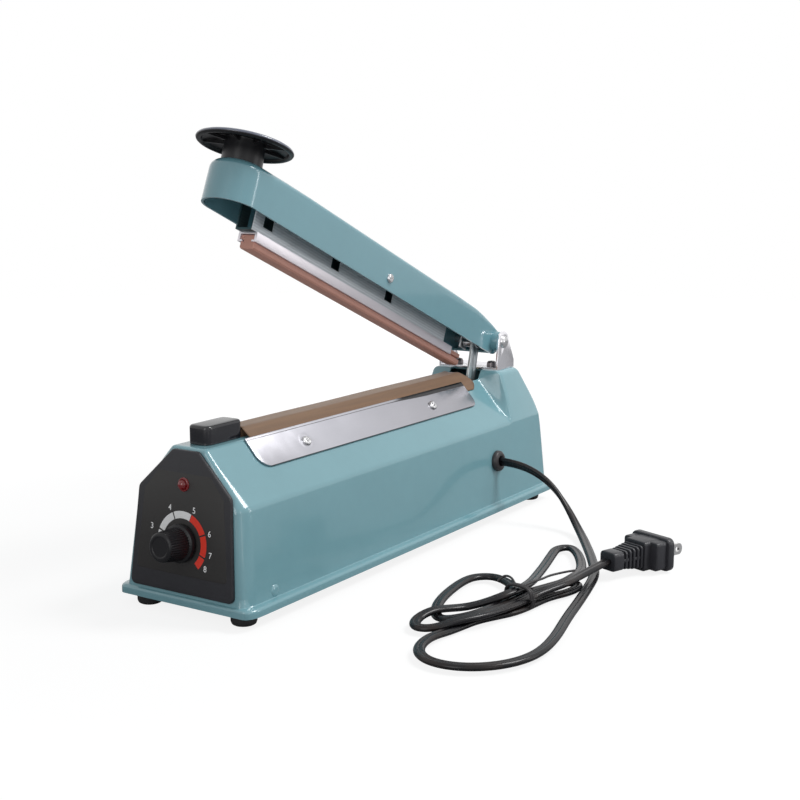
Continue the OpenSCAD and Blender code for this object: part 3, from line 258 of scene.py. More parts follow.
# cord: a flat twin section, upright where it leaves the body and flat after a twist; angles in degrees
cordValues = {"width": 5.6, "height": 3.5, "waist": 0.34, "steps": 6, "passes": 9, "twist": 78,
              "untwist": 130, "mapLength": 16.0}
cordRoute = [
    (23.1, 100.8, 37), (34.1, 100.8, 37), (45.1, 100.8, 36.9), (55.9, 101.2, 35.5), (66.2, 101.9, 31.6),
    (75.4, 101.9, 25.7), (83.5, 100.4, 18.4), (91, 96.8, 11.3), (98.3, 90.4, 6.2), (105.1, 82.2, 3.9),
    (111.4, 73.1, 3.2), (117.3, 63.9, 2.9), (123.1, 54.6, 2.9), (128.8, 45.1, 3), (134.3, 35.6, 3),
    (139.6, 26, 3), (144.3, 16, 3), (148, 5.7, 3), (150.9, -4.9, 3), (153.7, -15.6, 3), (156.3, -26.2, 3),
    (158.9, -36.9, 3), (161.3, -47.6, 3), (163.9, -58.3, 3), (166.7, -69, 3), (169.5, -79.6, 3),
    (171.8, -90.4, 3), (173.3, -101.2, 3), (173.2, -112.2, 3), (170.4, -122.8, 3), (164.8, -132.2, 3),
    (156.6, -139.5, 3), (146.4, -143.4, 3), (135.6, -142.3, 3), (127.1, -135.6, 3), (122.7, -125.6, 3),
    (121.7, -114.6, 2.9), (123.2, -103.8, 2.1), (124.7, -92.9, 1.9), (126.6, -82.1, 1.9),
    (131.4, -72.2, 2.1), (136.2, -62.4, 2.2), (138.3, -51.6, 2.2), (139.5, -40.7, 2.4), (141.4, -29.9, 2.4),
    (145.5, -19.7, 2.4), (146.4, -8.8, 2.4), (140.7, -0.8, 1.9), (135.6, -9.9, 2.8), (134, -20.8, 2.8),
    (133, -31.7, 2.6), (131.5, -42.6, 2.2), (125.6, -37.6, 3), (119.1, -28.8, 3.3), (110.5, -22, 3.2),
    (100.5, -17.9, 3), (92.5, -24.4, 3), (91.6, -35.3, 3), (92.8, -46.2, 3), (94.8, -57, 3),
    (97.6, -67.7, 3), (101.5, -77.9, 2.8), (107.2, -87.3, 2.1), (116.2, -92.7, 3.8), (125.3, -87.7, 5.7),
    (128.3, -77.3, 5.8), (129, -66.3, 5.2), (130, -55.4, 5.5), (132.1, -44.6, 5.9), (135, -34, 5.9),
    (138.2, -23.5, 5.8), (140.6, -12.7, 5.6), (140.6, -1.8, 5.7), (138.4, 8.9, 4.4), (134.9, 19.3, 3.5),
    (130.3, 29.2, 3.2), (124.8, 38.8, 3), (118.7, 47.9, 3), (110.8, 55.5, 3), (105.8, 48.6, 3),
    (108.3, 37.9, 3), (111.4, 27.3, 3.2), (114.6, 16.8, 3.5), (117.8, 6.3, 4), (121.1, -4.2, 4.9),
    (124.4, -14.6, 5.9), (127.7, -25, 7.1), (130.7, -35.5, 8.7), (132.8, -46.2, 9.9), (131.4, -57, 9.8),
    (125, -64.9, 7.1), (116.2, -70.3, 3.9), (110.4, -79.5, 4.5), (106.5, -89.7, 5.8), (103.4, -99.9, 3.6),
    (108.9, -108.9, 3), (118, -105.4, 3.6), (123.9, -96.3, 5.6), (130.2, -87.4, 6.1), (133.4, -76.9, 6.1),
    (135.8, -66.1, 6.1), (137.7, -55.3, 6.2), (138.9, -44.4, 6.6), (143, -34.4, 8), (146.8, -24.3, 9),
    (147.1, -13.4, 8.9), (148.1, -2.4, 9.3), (149.2, 8.5, 9.8), (150, 19.5, 10)]


def cordFinish():
    # soft sheath: browner where it is worn, fine drawing lines along the cord on its own map
    f = Finish("cord_sheath_black")
    uv = f.node("ShaderNodeTexCoord", pick=2)
    lines = f.noise(1, 2, at=f.node("ShaderNodeMapping", {}, {0: uv, 3: (26, 0.6, 1)}))
    cloud, fine = f.noise(16, 3), f.noise(0.6, 3)
    colour = f.mix(cloud.between(0.45, 0.7), (0.007, 0.007, 0.009), (0.020, 0.014, 0.013))
    return f.shade(Base_Color=colour, Roughness=0.17 + cloud * 0.12 + lines * 0.08, Specular_IOR_Level=0.3,
                   Normal=f.bump(lines + fine * 0.6, 0.22, 0.06))


def flatTwin(width, height, n=32):
    # outline of two cores side by side: an oval whose waist is drawn in by a bell curve
    a = np.arange(n) / n * 2 * math.pi
    x = np.cos(a) * width / 2
    z = np.sin(a) * height / 2 * (1 - cordValues["waist"] * np.exp(-(x / (width * 0.13)) ** 2))
    return np.stack([np.sign(x) * np.abs(x) ** 0.92 * (width / 2) ** 0.08, z], -1)


def eased(line, passes):
    # each pass moves every inner point towards the mean of its neighbours, which opens tight bends
    for _ in range(passes):
        line = np.vstack([line[:1], 0.25 * line[:-2] + 0.5 * line[1:-1] + 0.25 * line[2:], line[-1:]])
    return line


def smoothShare(x):
    # smooth step from 0 to 1
    x = np.clip(x, 0, 1)
    return x * x * (3 - 2 * x)


def cordTube(path, run):
    # the section is carried along the path, across and rise being its axes, turned back by the twist
    tangent = unit(np.gradient(path, axis=0))
    across = unit(np.cross(tangent, np.array([0, 0, 1.0])))
    rise = np.cross(across, tangent)
    twist = math.radians(cordValues["twist"]) * (1 - smoothShare(run / cordValues["untwist"]))[:, None]
    turnCos, turnSin = np.cos(twist), np.sin(twist)
    across, rise = across * turnCos + rise * turnSin, rise * turnCos - across * turnSin
    ring = flatTwin(cordValues["width"], cordValues["height"])
    tube = path[:, None, :] + across[:, None, :] * ring[None, :, :1] + rise[:, None, :] * ring[None, :, 1:]
    tube = np.concatenate([tube, tube[:, :1]], 1)
    n, m = tube.shape[:2]
    own = np.stack(np.broadcast_arrays(np.arange(m)[None, :] / (m - 1),
                                       run[:, None] / cordValues["mapLength"]), -1)
    ends = [list(range(m - 1))[::-1], list(range((n - 1) * m, n * m - 1))]
    return meshPiece("mains_cord", tube, gridFaces(n, m).tolist() + ends, edge=60, uv=own)


cordPath = eased(splinePath(cordRoute, cordValues["steps"]), cordValues["passes"])
cordRun = np.concatenate([[0], np.cumsum(np.linalg.norm(np.diff(cordPath, axis=0), axis=1))])
cordPiece = cordTube(cordPath, cordRun)
finishPiece(cordPiece, "base", cordFinish(), ["cord_lead", "cord_hank", "cord_tail"])


def paintFinish(name, colour):
    # gloss paint: tones in wide and small patches, a slight orange peel
    f = Finish(name)
    wide, mottle, peel, dust = f.noise(60, 2), f.noise(7, 3), f.noise(1.6, 2, 0.4), f.noise(0.5, 2)
    share = wide * 0.6 + mottle * 0.25 + dust * 0.15
    return f.shade(Base_Color=f.tone(colour, share, 0.10), Roughness=0.14 + mottle * 0.07 + wide * 0.04,
                   Specular_IOR_Level=0.5, Coat_Weight=0.5, Coat_Roughness=0.05,
                   Normal=f.bump(peel + dust * 0.2, 0.07, 0.1))


def plasticFinish(name, colour, rough=0.34, grain=0.35, size=0.5, amount=0.25, shine=0.4):
    # moulded plastic or rubber: fine pits and cloudy tones
    f = Finish(name)
    pits, cloud = f.noise(size, 3, 0.6), f.noise(14, 3)
    return f.shade(Base_Color=f.tone(colour, cloud * 0.6 + pits * 0.4, amount),
                   Roughness=rough + cloud * 0.1 + pits * 0.06 - 0.08, Specular_IOR_Level=shine,
                   Normal=f.bump(pits, grain, 0.06))


def metalFinish(name, colour, rough=0.2, along="Y", lines=0.25, tint=0.08, metallic=0.95):
    # fine lines run along one axis, and smudges change the gloss
    f = Finish(name)
    stretch = tuple(0.02 if a == along else 1 for a in "XYZ")
    grain, cloud, spots = f.noise(0.35, 3, 0.6, stretch=stretch), f.noise(18, 3), f.noise(2.5, 4, 0.6)
    return f.shade(Base_Color=f.tone(colour, grain * 0.45 + cloud * 0.35 + spots * 0.2, tint),
                   Metallic=metallic, Roughness=rough + cloud * 0.1 + grain * 0.08 + spots * 0.05 - 0.1,
                   Normal=f.bump(grain + spots * 0.3, lines, 0.03))


bodyPaint = paintFinish("teal_gloss_paint", (0.200, 0.400, 0.452))
# the arm's paint is the body's teal made darker and bluer, a painted shade
shadedArmPaint = paintFinish("teal_paint_arm_shaded", (0.166, 0.354, 0.410))
dialBlack = plasticFinish("dial_black", (0.009, 0.009, 0.011), rough=0.34, grain=0.25, shine=0.28)
blockBlack = plasticFinish("block_black", (0.013, 0.013, 0.017), rough=0.15, grain=0.08, shine=0.55)
panelBlack = plasticFinish("panel_black", (0.024, 0.024, 0.029), rough=0.36, grain=0.3, size=0.35)
labelGrey = plasticFinish("label_charcoal", (0.023, 0.0215, 0.021), rough=0.46, grain=0.2, size=0.25,
                          amount=0.12)
printWhite = plasticFinish("print_white", (0.93, 0.93, 0.93), rough=0.5, grain=0.1, amount=0.03)
printRed = plasticFinish("print_red", (0.86, 0.05, 0.028), rough=0.5, grain=0.1, amount=0.04)
chrome = metalFinish("chrome_plate", (0.92, 0.91, 0.97), rough=0.16, along="Z", lines=0.1)
zincPlate = metalFinish("zinc_plate", (0.62, 0.62, 0.63), rough=0.34)
screwSteel = metalFinish("screw_steel", (0.60, 0.60, 0.61), rough=0.22, along="")
screwDark = metalFinish("screw_dark", (0.16, 0.145, 0.15), rough=0.3, along="", tint=0.3)
channelAlloy = metalFinish("channel_aluminium", (0.80, 0.76, 0.80), rough=0.36, lines=0.3, metallic=0.7)
strapZinc = metalFinish("strap_zinc", (0.46, 0.50, 0.51), rough=0.36, along="Z", lines=0.3, tint=0.2)
ribbonNickel = metalFinish("ribbon_nickel", (0.6, 0.57, 0.54), rough=0.3)
brass = metalFinish("brass", (0.72, 0.55, 0.25), rough=0.3, along="")
bladeNickel = metalFinish("blade_nickel", (0.76, 0.75, 0.74), rough=0.16, lines=0.08)
springSteel = metalFinish("spring_steel", (0.55, 0.55, 0.57), rough=0.25, along="")
ironSheets = metalFinish("core_sheets", (0.17, 0.17, 0.18), rough=0.5, along="Z", lines=0.6, tint=0.3)
siliconeBrown = plasticFinish("silicone_brown", (0.64, 0.325, 0.255), rough=0.5, grain=0.3, size=0.8,
                              amount=0.16)
feetRubber = plasticFinish("feet_rubber", (0.022, 0.022, 0.024), rough=0.62, grain=0.5)
grommetRubber = plasticFinish("grommet_rubber", (0.035, 0.032, 0.034), rough=0.42, grain=0.3)
plugBlack = plasticFinish("plug_black", (0.034, 0.034, 0.040), rough=0.36, amount=0.2)
laminate = plasticFinish("bar_laminate", (0.25, 0.14, 0.08), rough=0.5, grain=0.4)
boardGreen = plasticFinish("board_green", (0.02, 0.16, 0.07), rough=0.3, grain=0.2)
partsDark = plasticFinish("parts_dark", (0.045, 0.05, 0.10), rough=0.35)
ivory = plasticFinish("ivory_plastic", (0.76, 0.73, 0.64), rough=0.45, amount=0.06)
coilTape = plasticFinish("coil_tape", (0.42, 0.19, 0.07), rough=0.4, grain=0.4, size=1.5)
sleeveWhite = plasticFinish("sleeve_white", (0.8, 0.8, 0.78), rough=0.5, amount=0.05)
print("finishes:", len(bpy.data.materials))


def arcPoints(a, b, c, r, n):
    # n points of the arc that rounds corner b between a and c, for whole stacks of corners at
    # once; also the outward directions
    u, v = unit(a - b), unit(c - b)
    half = np.arccos(np.clip((u * v).sum(-1), -1, 1))[..., None] / 2
    r = np.broadcast_to(r, half.shape)
    mid = b + unit(u + v) * r / np.sin(half)
    first, last = unit(b + u * r / np.tan(half) - mid), unit(b + v * r / np.tan(half) - mid)
    span = (math.pi - 2 * half)[..., None, :]
    t = np.linspace(0, 1, n)[:, None]
    w = (np.sin((1 - t) * span) * first[..., None, :] + np.sin(t * span) * last[..., None, :]) / np.sin(span)
    return mid[..., None, :] + w * r[..., None, :], w


def roundedOutline(corners, radii, n=7):
    # polygon whose corners are arcs of n points
    p = np.asarray(corners, float)
    r = np.broadcast_to(np.asarray(radii, float), (len(p),))[:, None]
    pts, out = arcPoints(np.roll(p, 1, 0), p, np.roll(p, -1, 0), r, n)
    return pts.reshape(-1, 2), out.reshape(-1, 2)


def boxOutline(w, h, r, n=6):
    return roundedOutline([[-w / 2, -h / 2], [w / 2, -h / 2], [w / 2, h / 2], [-w / 2, h / 2]], r, n)


def softEdge(radius, low, high, n=4):
    # levels of a plate whose upper edge is a quarter round
    a = np.linspace(0, math.pi / 2, n + 1)
    return [(0, low)] + [(radius * (1 - math.cos(t)), high - radius + radius * math.sin(t)) for t in a]


def stackedRings(name, outline, levels, place, edge=30):
    # one outline drawn in by inset and lifted to height, level by level; the ends are closed
    pts, out = outline
    rings = np.array([np.column_stack([pts - out * inset, np.full(len(pts), height)])
                      for inset, height in levels])
    return meshPiece(name, place(rings.reshape(-1, 3)), tubeFaces(*rings.shape[:2]), edge=edge)


def revolve(name, profile, steps, place, wave=None, edge=30):
    # profile of (radius, height) turned about the axis; wave(angle, radius, height) may change the radius
    prof = np.asarray(profile, float)
    a = np.arange(steps) / steps * 2 * math.pi
    r = np.repeat(prof[:, :1], steps, 1)
    if wave is not None:
        r = wave(a[None, :], r, prof[:, 1:2])
    p = np.stack([r * np.cos(a), r * np.sin(a), prof[:, 1:2] + 0 * r], -1)
    return meshPiece(name, place(p.reshape(-1, 3)), gridFaces(len(prof), steps, closeCols=True).tolist(),
                     edge=edge)


def sweep(name, points, radius, steps=10, sides=10):
    # a round wire: a ring of points square to the path at each point of it
    line = splinePath(points, steps)
    t = unit(np.gradient(line, axis=0))
    # its axes come from a direction that no stretch of the path follows
    ref = np.array([0.0, 0.0, 1.0] if np.abs(t[:, 2]).max() < 0.97 else [0.31, 0.87, 0.38])
    u = unit(np.cross(t, ref))
    v = np.cross(u, t)
    a = (np.arange(sides) / sides * 2 * math.pi)[None, :, None]
    p = line[:, None, :] + radius * (u[:, None, :] * np.cos(a) + v[:, None, :] * np.sin(a))
    return meshPiece(name, p, tubeFaces(*p.shape[:2]), edge=50, merge=0.002)


def softened(node, width, name=None):
    # a copy of a solid's mesh with its flat faces merged and its sharp edges rounded
    mesh = nodes[node].data.copy()
    work = bmesh.new()
    work.from_mesh(mesh)
    bmesh.ops.remove_doubles(work, verts=work.verts, dist=0.004 * mm)
    bmesh.ops.dissolve_limit(work, angle_limit=math.radians(1.5), verts=work.verts, edges=work.edges)
    work.to_mesh(mesh)
    work.free()
    mesh.name = name or node + "_soft"
    piece = linked(mesh.name, mesh)
    if not width:
        return piece
    bevel = piece.modifiers.new("edges", "BEVEL")
    bevel.width, bevel.segments = width * mm, 2
    bevel.limit_method, bevel.angle_limit = "ANGLE", math.radians(28)
    bevel.harden_normals = False
    applyModifiers(piece)
    piece.data.shade_smooth()
    piece.data.set_sharp_from_angle(angle=math.radians(35))
    return piece


def screwHead(name, radius, height, place, cross=0.62, slot=0.4, depth=0.6, steps=48, rim=0.35):
    # pan head: a polar grid whose height falls with a rounded edge over the share rim, with a
    # cross pressed into it
    a = np.arange(steps) / steps * 2 * math.pi
    t = np.concatenate([np.linspace(0.02, 0.9, 16), [0.95, 0.985, 1.0]])
    rr, aa = np.meshgrid(t * radius, a, indexing="ij")
    x, y = rr * np.cos(aa), rr * np.sin(aa)
    q = np.clip((rr / radius - (1 - rim)) / rim, 0, 1)
    z = height * (1 - 0.12 * (rr / radius) ** 2) - height * 0.75 * (1 - np.sqrt(1 - q ** 2))
    near = np.minimum(np.abs(x), np.abs(y))
    cut = np.clip((slot - near) / (slot * 0.45), 0, 1) * np.clip((radius * cross - rr) / 0.3, 0, 1)
    z = z - depth * cut * np.clip(1 - rr / (radius * cross) * 0.35, 0, 1)
    skirt = np.stack([radius * np.cos(a), radius * np.sin(a), 0 * a - 0.3], -1)
    pts = np.vstack([np.stack([x, y, z], -1).reshape(-1, 3), skirt, [[0, 0, height - depth]]])
    n = len(t) + 1
    middle = [[n * steps, i, (i + 1) % steps] for i in range(steps)]
    under = [list(range((n - 1) * steps, n * steps))]
    return meshPiece(name, place(pts), gridFaces(n, steps, closeCols=True).tolist() + middle + under,
                     edge=40, merge=0.002)


# box with points in the order of x, then y, then z
boxFaces = [[0, 1, 3, 2], [4, 6, 7, 5], [0, 4, 5, 1], [2, 3, 7, 6], [0, 2, 6, 4], [1, 5, 7, 3]]

# housing: corners of the half section as (x, z), rounding radii, y of the faces, and the
# strap's slot as half width and ends
hull = {"ridge": (10.8, 85.0), "deck": (24.5, 90.0), "shoulder": (34.9, 58.0), "skirt": (39.7, 11.5),
        "ridgeR": 3.0, "deckR": 5.0, "shoulderR": 5.5, "deckShoulderR": 8.5, "endR": 5.0, "topEndR": 2.2,
        "rearEndR": 4.0, "cove": [(40.0, 11.15), (40.7, 11.02), (41.6, 10.92), (42.4, 10.75), (43.0, 10.45),
                                  (43.4, 10.0), (43.6, 9.4), (43.6, 8.0), (43.6, 6.5)],
        "rimFront": -153.693, "rimRear": 168.307, "faceFront": -152.393, "faceRear": 167.007, "faceZ": 11.5,
        "lean": 0.09101, "rearLean": 0.01047, "rearSlant": 0.475, "slantFrom": 60.0, "slantSoft": 4.5,
        "rimTop": 9.6, "rimCurve": 1.55, "skirtZ": 11.2, "deckY": 123.307, "cornerLength": 1.8, "wall": 1.2,
        "slot": (11.3, 110.307, 129.307)}


def hullSection(t):
    # half section in (x, z) from the middle of the top down to the rim, at deck share t (0 ridge, 1 deck):
    # flat top, rounded corner, slope, rounded shoulder, side, cove and upright rim; with
    # outward directions and end radii
    t = np.asarray(t, float)[:, None]
    k = (1 - t) * np.array(hull["ridge"]) + t * np.array(hull["deck"])
    s, f = np.array([hull["shoulder"]]) + 0 * t, np.array([hull["skirt"]]) + 0 * t
    top = np.stack([0 * k[:, 0], k[:, 1]], -1)
    one, n1 = arcPoints(top, k, s, hull["ridgeR"] * (1 - t) + hull["deckR"] * t, 9)
    two, n2 = arcPoints(k, s, f, hull["shoulderR"] * (1 - t) + hull["deckShoulderR"] * t, 9)
    lin = lambda a, b, n: a[:, None, :] + (b - a)[:, None, :] * np.linspace(0, 1, n)[None, :, None]
    up = lin(top, one[:, 0], 6)[:, :-1]
    slope = lin(one[:, -1], two[:, 0], 10)[:, 1:-1]
    side = lin(two[:, -1], f, 12)[:, 1:]
    cove = np.repeat(np.array(hull["cove"])[None], len(k), 0)
    p = np.concatenate([up, one, slope, two, side, cove], 1)
    spread = lambda n, part: np.repeat(n, part.shape[1], 1)
    level = np.repeat(np.array([[[1.0, 0.0]]]), len(k), 0)
    out = np.concatenate([spread(n1[:, :1], up), n1, spread(n1[:, -1:], slope), n2,
                          spread(n2[:, -1:], side), spread(level, cove)], 1)
    out[:, -cove.shape[1] - side.shape[1]:, 1] = 0
    # the end radius grows down the slope by a smooth step
    grow = smoothShare((k[:, 1:] - p[:, :, 1]) / (k[:, 1:] - s[:, 1:] + 4.0))
    return p, unit(out), hull["topEndR"] + (hull["endR"] - hull["topEndR"]) * grow


def endAt(z, rim, face):
    # y of an end face at height z; under the skirt it curves out to the rim as a square
    low = rim + (face(hull["faceZ"]) - rim) * np.clip((z - hull["rimTop"]) / hull["rimCurve"], 0, 1) ** 2
    return np.where(z < hull["skirtZ"], low, face(z))


def frontAt(z):
    return endAt(z, hull["rimFront"], lambda h: hull["faceFront"] + hull["lean"] * (h - hull["faceZ"]))


def rearAt(z):
    # nearly upright up to the shoulder, then a soft corner (the log of one plus an exponential)
    # and a slant up to the deck
    soft = hull["slantSoft"]
    upright = endAt(z, hull["rimRear"], lambda h: hull["faceRear"] - hull["rearLean"] * (h - hull["faceZ"]))
    slant = hull["rearSlant"] * soft * np.logaddexp(0, (z - hull["slantFrom"]) / soft)
    return upright - np.where(z < hull["skirtZ"], 0, slant)


def housingSkin():
    # stations along the body: quarter turns round both end edges, straight stretches whose
    # shear fades, an S-curve up to the deck
    turn = np.linspace(0, math.pi / 2, 8)
    deckY = hull["deckY"]
    mids = np.concatenate([[-138.0, -128.0, -112.0], np.linspace(-90, 100, 6), [112.0, 119.0],
                           deckY + np.linspace(-2.6, 2.6, 9), [130.0, 137.0]])
    share = smoothShare((mids - deckY + 2.4) / 4.8)
    fade = np.clip((mids + 145) / 30, 0, 1)[:, None]
    p0, out0, r0 = hullSection([0.0])
    p1, out1, r1 = hullSection([1.0])
    r1 = np.maximum(r1, hull["rearEndR"])
    a = turn[:, None, None]
    # seen from above the front corners are longer along the side than across the face
    long0 = r0 * (1 + (hull["cornerLength"] - 1) * (r0 - hull["topEndR"]) / (hull["endR"] - hull["topEndR"]))
    pf = p0 - out0 * r0[..., None] * (1 - np.sin(a))
    yf = frontAt(pf[..., 1]) + long0 * (1 - np.cos(turn[:, None]))
    pm = hullSection(share)[0]
    ym = (frontAt(pm[..., 1]) + long0) * (1 - fade) + mids[:, None] * fade
    pr = p1 - out1 * r1[..., None] * (1 - np.sin(a[::-1]))
    yr = rearAt(pr[..., 1]) - r1 * (1 - np.cos(turn[::-1, None]))
    s = np.concatenate([np.concatenate([p, y[..., None]], -1) for p, y in ((pf, yf), (pm, ym), (pr, yr))])
    half = np.stack([s[..., 0], s[..., 2], s[..., 1]], -1)
    whole = np.concatenate([half[:, ::-1] * [-1, 1, 1], half[:, 1:]], 1)
    n, m = whole.shape[:2]
    faces = gridFaces(n, m).tolist()
    # both ends are closed by strips from one side to the other
    h = np.arange(m // 2)
    for row, flip in ((0, 1), (n - 1, -1)):
        a0, b0 = row * m + h, row * m + m - 1 - h
        faces += np.stack([a0, a0 + 1, b0 - 1, b0], -1)[:, ::flip].tolist()
    return meshPiece("housing_skin", whole, faces, edge=30)


def walled(piece, thickness, edge):
    # sheet metal: the skin gets its thickness inwards
    wall = piece.modifiers.new("wall", "SOLIDIFY")
    wall.thickness, wall.offset = thickness * mm, -1
    applyModifiers(piece)
    piece.data.set_sharp_from_angle(angle=math.radians(edge))
    return piece


housingPiece = walled(housingSkin(), hull["wall"], 30)
slotHalf, slotFront, slotRear = hull["slot"]
cutterBox = [[x, y, z] for x in (-slotHalf, slotHalf) for y in (slotFront, slotRear) for z in (78, 99)]
cutter = meshPiece("cutter", cutterBox, boxFaces)
cut = housingPiece.modifiers.new("slot", "BOOLEAN")
cut.operation, cut.object, cut.solver = "DIFFERENCE", cutter, "EXACT"
applyModifiers(housingPiece)
bpy.data.objects.remove(cutter)
housingPiece.data.set_sharp_from_angle(angle=math.radians(30))
finishPiece(housingPiece, "base", bodyPaint, ["housing"])
print("housing:", len(housingPiece.data.polygons), "faces")

# press arm: hinge pin's (y, z), swing in degrees, and heights before the swing; boss as radius
# and reach from the middle
arm = {"pin": (135.807, 108.0), "swing": -22.5, "low": 99.2, "top": 121.4, "nose": -125.693, "half": 15.2,
       "slant": 110.807, "tail": 8.2, "edge": 2.4, "noseEdge": 4.6, "tailEdge": 1.6, "wall": 1.2,
       "boss": (6.3, 20.2)}


def swung(points):
    return turnedAbout(points, "x", arm["swing"], (0, *arm["pin"]))


def armSkin():
    # stations round the nose and along to the tail; each goes up the leg, over a quarter round
    # and across to the middle line
    py, pz = arm["pin"]
    slant, width, tailR = arm["slant"], arm["half"], arm["tail"]
    nose = np.linspace(0, math.pi / 2, 15)
    ys = np.concatenate([np.linspace(arm["nose"], slant - 6, 12)[1:],
                         [slant - 3, slant, 113.5, 116.0, 118.5, 121.0, 123.5, 125.5, 128.0, 130.5, 133.0]])
    tail = np.linspace(0, math.radians(176), 19)
    o, i, e = 0 * nose, 0 * ys, 0 * tail
    fall = np.clip((ys - slant + 14) / (py - slant + 14), 0, 1) ** 1.9
    topZ = arm["top"] - (arm["top"] - pz - tailR) * fall
    noseY, tailY = arm["nose"] - width * np.cos(nose), py + tailR * np.sin(tail)
    col = lambda *parts: np.concatenate(parts)[:, None]
    outX, outY = col(np.sin(nose), i + 1, e + 1), col(-np.cos(nose), i, e)
    cx, cy = col(width * np.sin(nose), i + width, e + width), col(noseY, ys, tailY)
    cz = col(o + arm["top"], topZ, pz + tailR * np.cos(tail))
    upY, upZ = col(o, i, np.sin(tail)), col(o + 1, i + 1, np.cos(tail))
    footY, midY = col(noseY, ys, e + py), col(o + arm["nose"], ys, tailY)
    edges = np.interp(ys, [arm["nose"], arm["nose"] + 30, 122, 132],
                      [arm["noseEdge"], arm["edge"], arm["edge"], arm["tailEdge"]])
    r = col(o + arm["noseEdge"], edges, e + arm["tailEdge"])
    # quarter round: in by r(1 - cos a), down from the top by r(1 - sin a)
    a = np.linspace(0, math.pi / 2, 8)[None, :]
    inn, dn = r * (1 - np.cos(a)), r * (1 - np.sin(a))
    ax, ay, az = cx - outX * inn, cy - outY * inn - upY * dn, cz - upZ * dn
    s = np.linspace(0, 1, 9)[None, :-1]
    leg = cx + 0 * s, footY * (1 - s) + ay[:, :1] * s, arm["low"] * (1 - s) + az[:, :1] * s
    s = np.linspace(0, 1, 6)[None, 1:]
    across = ax[:, -1:] * (1 - s), ay[:, -1:] * (1 - s) + midY * s, az[:, -1:] + 0 * s
    half = np.stack([np.hstack(q) for q in zip(leg, (ax, ay, az), across)], -1)
    faces = gridFaces(*half.shape[:2])
    half = half.reshape(-1, 3)
    both = np.concatenate([faces, faces[:, ::-1] + len(half)]).tolist()
    return meshPiece("arm_skin", swung(np.concatenate([half, half * [-1, 1, 1]])), both, edge=32, merge=0.03)


def armBoss(side):
    # a turned washer standing out from the leg at the pin
    r, reach = arm["boss"]
    profile = [[2.6, 14.4], [r, 14.4], [r, reach - 0.7], [r - 0.2, reach - 0.2], [r - 0.7, reach],
               [2.6, reach], [2.6, 14.4]]
    return revolve("boss", profile, 48, lambda p: turnedAbout(p, "y", 90 * side) + [0, *arm["pin"]])


armPiece = joinPieces("arm_skin_bossed", [walled(armSkin(), arm["wall"], 32), armBoss(-1), armBoss(1)])
finishPiece(armPiece, "arm", shadedArmPaint, ["arm_shell"])
print("arm:", len(armPiece.data.polygons), "faces")

# handle: stem and dished disc on the arm's nose, tipped by some degrees, with thin ribs under the disc
handle = {"disc": 25.0, "tip": 4.0, "foot": (-100.66, 220.45), "stemLine": (0.3173, 0.9483),
          "domeFrom": 21.8, "ribs": 8, "ribHalf": 0.5, "ribFrom": 9.8, "ribTurn": 20,
          "stem": [(0, -0.6), (10.6, -0.6), (10.6, 3.0), (10.45, 8.0), (10.4, 11.4), (10.7, 12.2),
                   (11.4, 12.6), (12.4, 12.6)],
          "under": [(6.0, 11.7), (3.6, 11.2), (3.2, 10.9), (3.0, 10.3), (2.6, 9.6), (1.9, 9.25),
                    (1.0, 9.35), (0.35, 9.8)],
          "over": [(0, 10.5), (0.1, 11.1), (0.5, 11.6), (1.6, 12.1), (3.2, 12.55), (5.5, 13.15), (8, 13.85),
                   (10.5, 14.6), (13, 15.3), (16, 16.0), (19, 16.6), (21, 16.95), (25, 17.1)]}


def gripFinish():
    # turned plastic: the dome over the disc is glossier than the stem and carries a painted sheen, a
    # lighter blue-grey colour; height is measured along the stem's own line
    f = Finish("grip_black")
    at = f.place()
    (footY, footZ), (lineY, lineZ) = handle["foot"], handle["stemLine"]
    y, z = f.axis("Y", at) - footY * mm, f.axis("Z", at) - footZ * mm
    height, forth = y * lineY + z * lineZ, y * lineZ - z * lineY
    inner = handle["domeFrom"] * mm - (f.axis("X", at) ** 2.0 + forth ** 2.0) ** 0.5
    # the dome is what stands above a line that follows the disc from its rim inwards
    line = inner.larger(0.0) * 0.17 + inner.smaller(0.0) * 0.45
    dome = (height - line).between(11.6 * mm, 12.2 * mm)
    pits, cloud = f.noise(0.5, 3), f.noise(12, 3)
    # painted sheen: the dome is coloured a lighter blue-grey than the black stem
    colour = f.mix(dome, f.tone((0.011, 0.011, 0.013), cloud, 0.25),
                   f.tone((0.120, 0.135, 0.190), cloud, 0.2))
    return f.shade(Base_Color=colour, Roughness=0.24 + cloud * 0.12 + pits * 0.03, Specular_IOR_Level=0.34,
                   Coat_Weight=dome * 1.0, Coat_Roughness=0.1, Normal=f.bump(pits, 0.12, 0.05))


def gripPiece():
    # the profile is turned about the stem, and the ribs run from the stem to the rolled rim
    d = handle["disc"]
    profile = handle["stem"] + [(d - inward, height) for inward, height in handle["under"] + handle["over"]]
    parts = [revolve("grip_turned", profile, 96, lambda p: p, edge=40)]
    t = handle["ribHalf"]
    rib = [[x, y, z] for x, top in ((handle["ribFrom"], 12.5), (d - 2.7, 11.5)) for y in (-t, t)
           for z in (10.3, top)]
    for i in range(handle["ribs"]):
        parts.append(meshPiece("rib", turnedAbout(rib, "z", handle["ribTurn"] + i * 360 / handle["ribs"]),
                               boxFaces))
    piece = joinPieces("grip_disc", parts)
    onNose = turnedAbout(vertexPoints(piece.data) / mm, "x", handle["tip"]) + [0, arm["nose"], arm["top"]]
    piece.data.vertices.foreach_set("co", (swung(onNose) * mm).ravel())
    piece.data.set_sharp_from_angle(angle=math.radians(38))
    return piece


finishPiece(gripPiece(), "arm", gripFinish(), ["handle_knob"])
print("handle done")

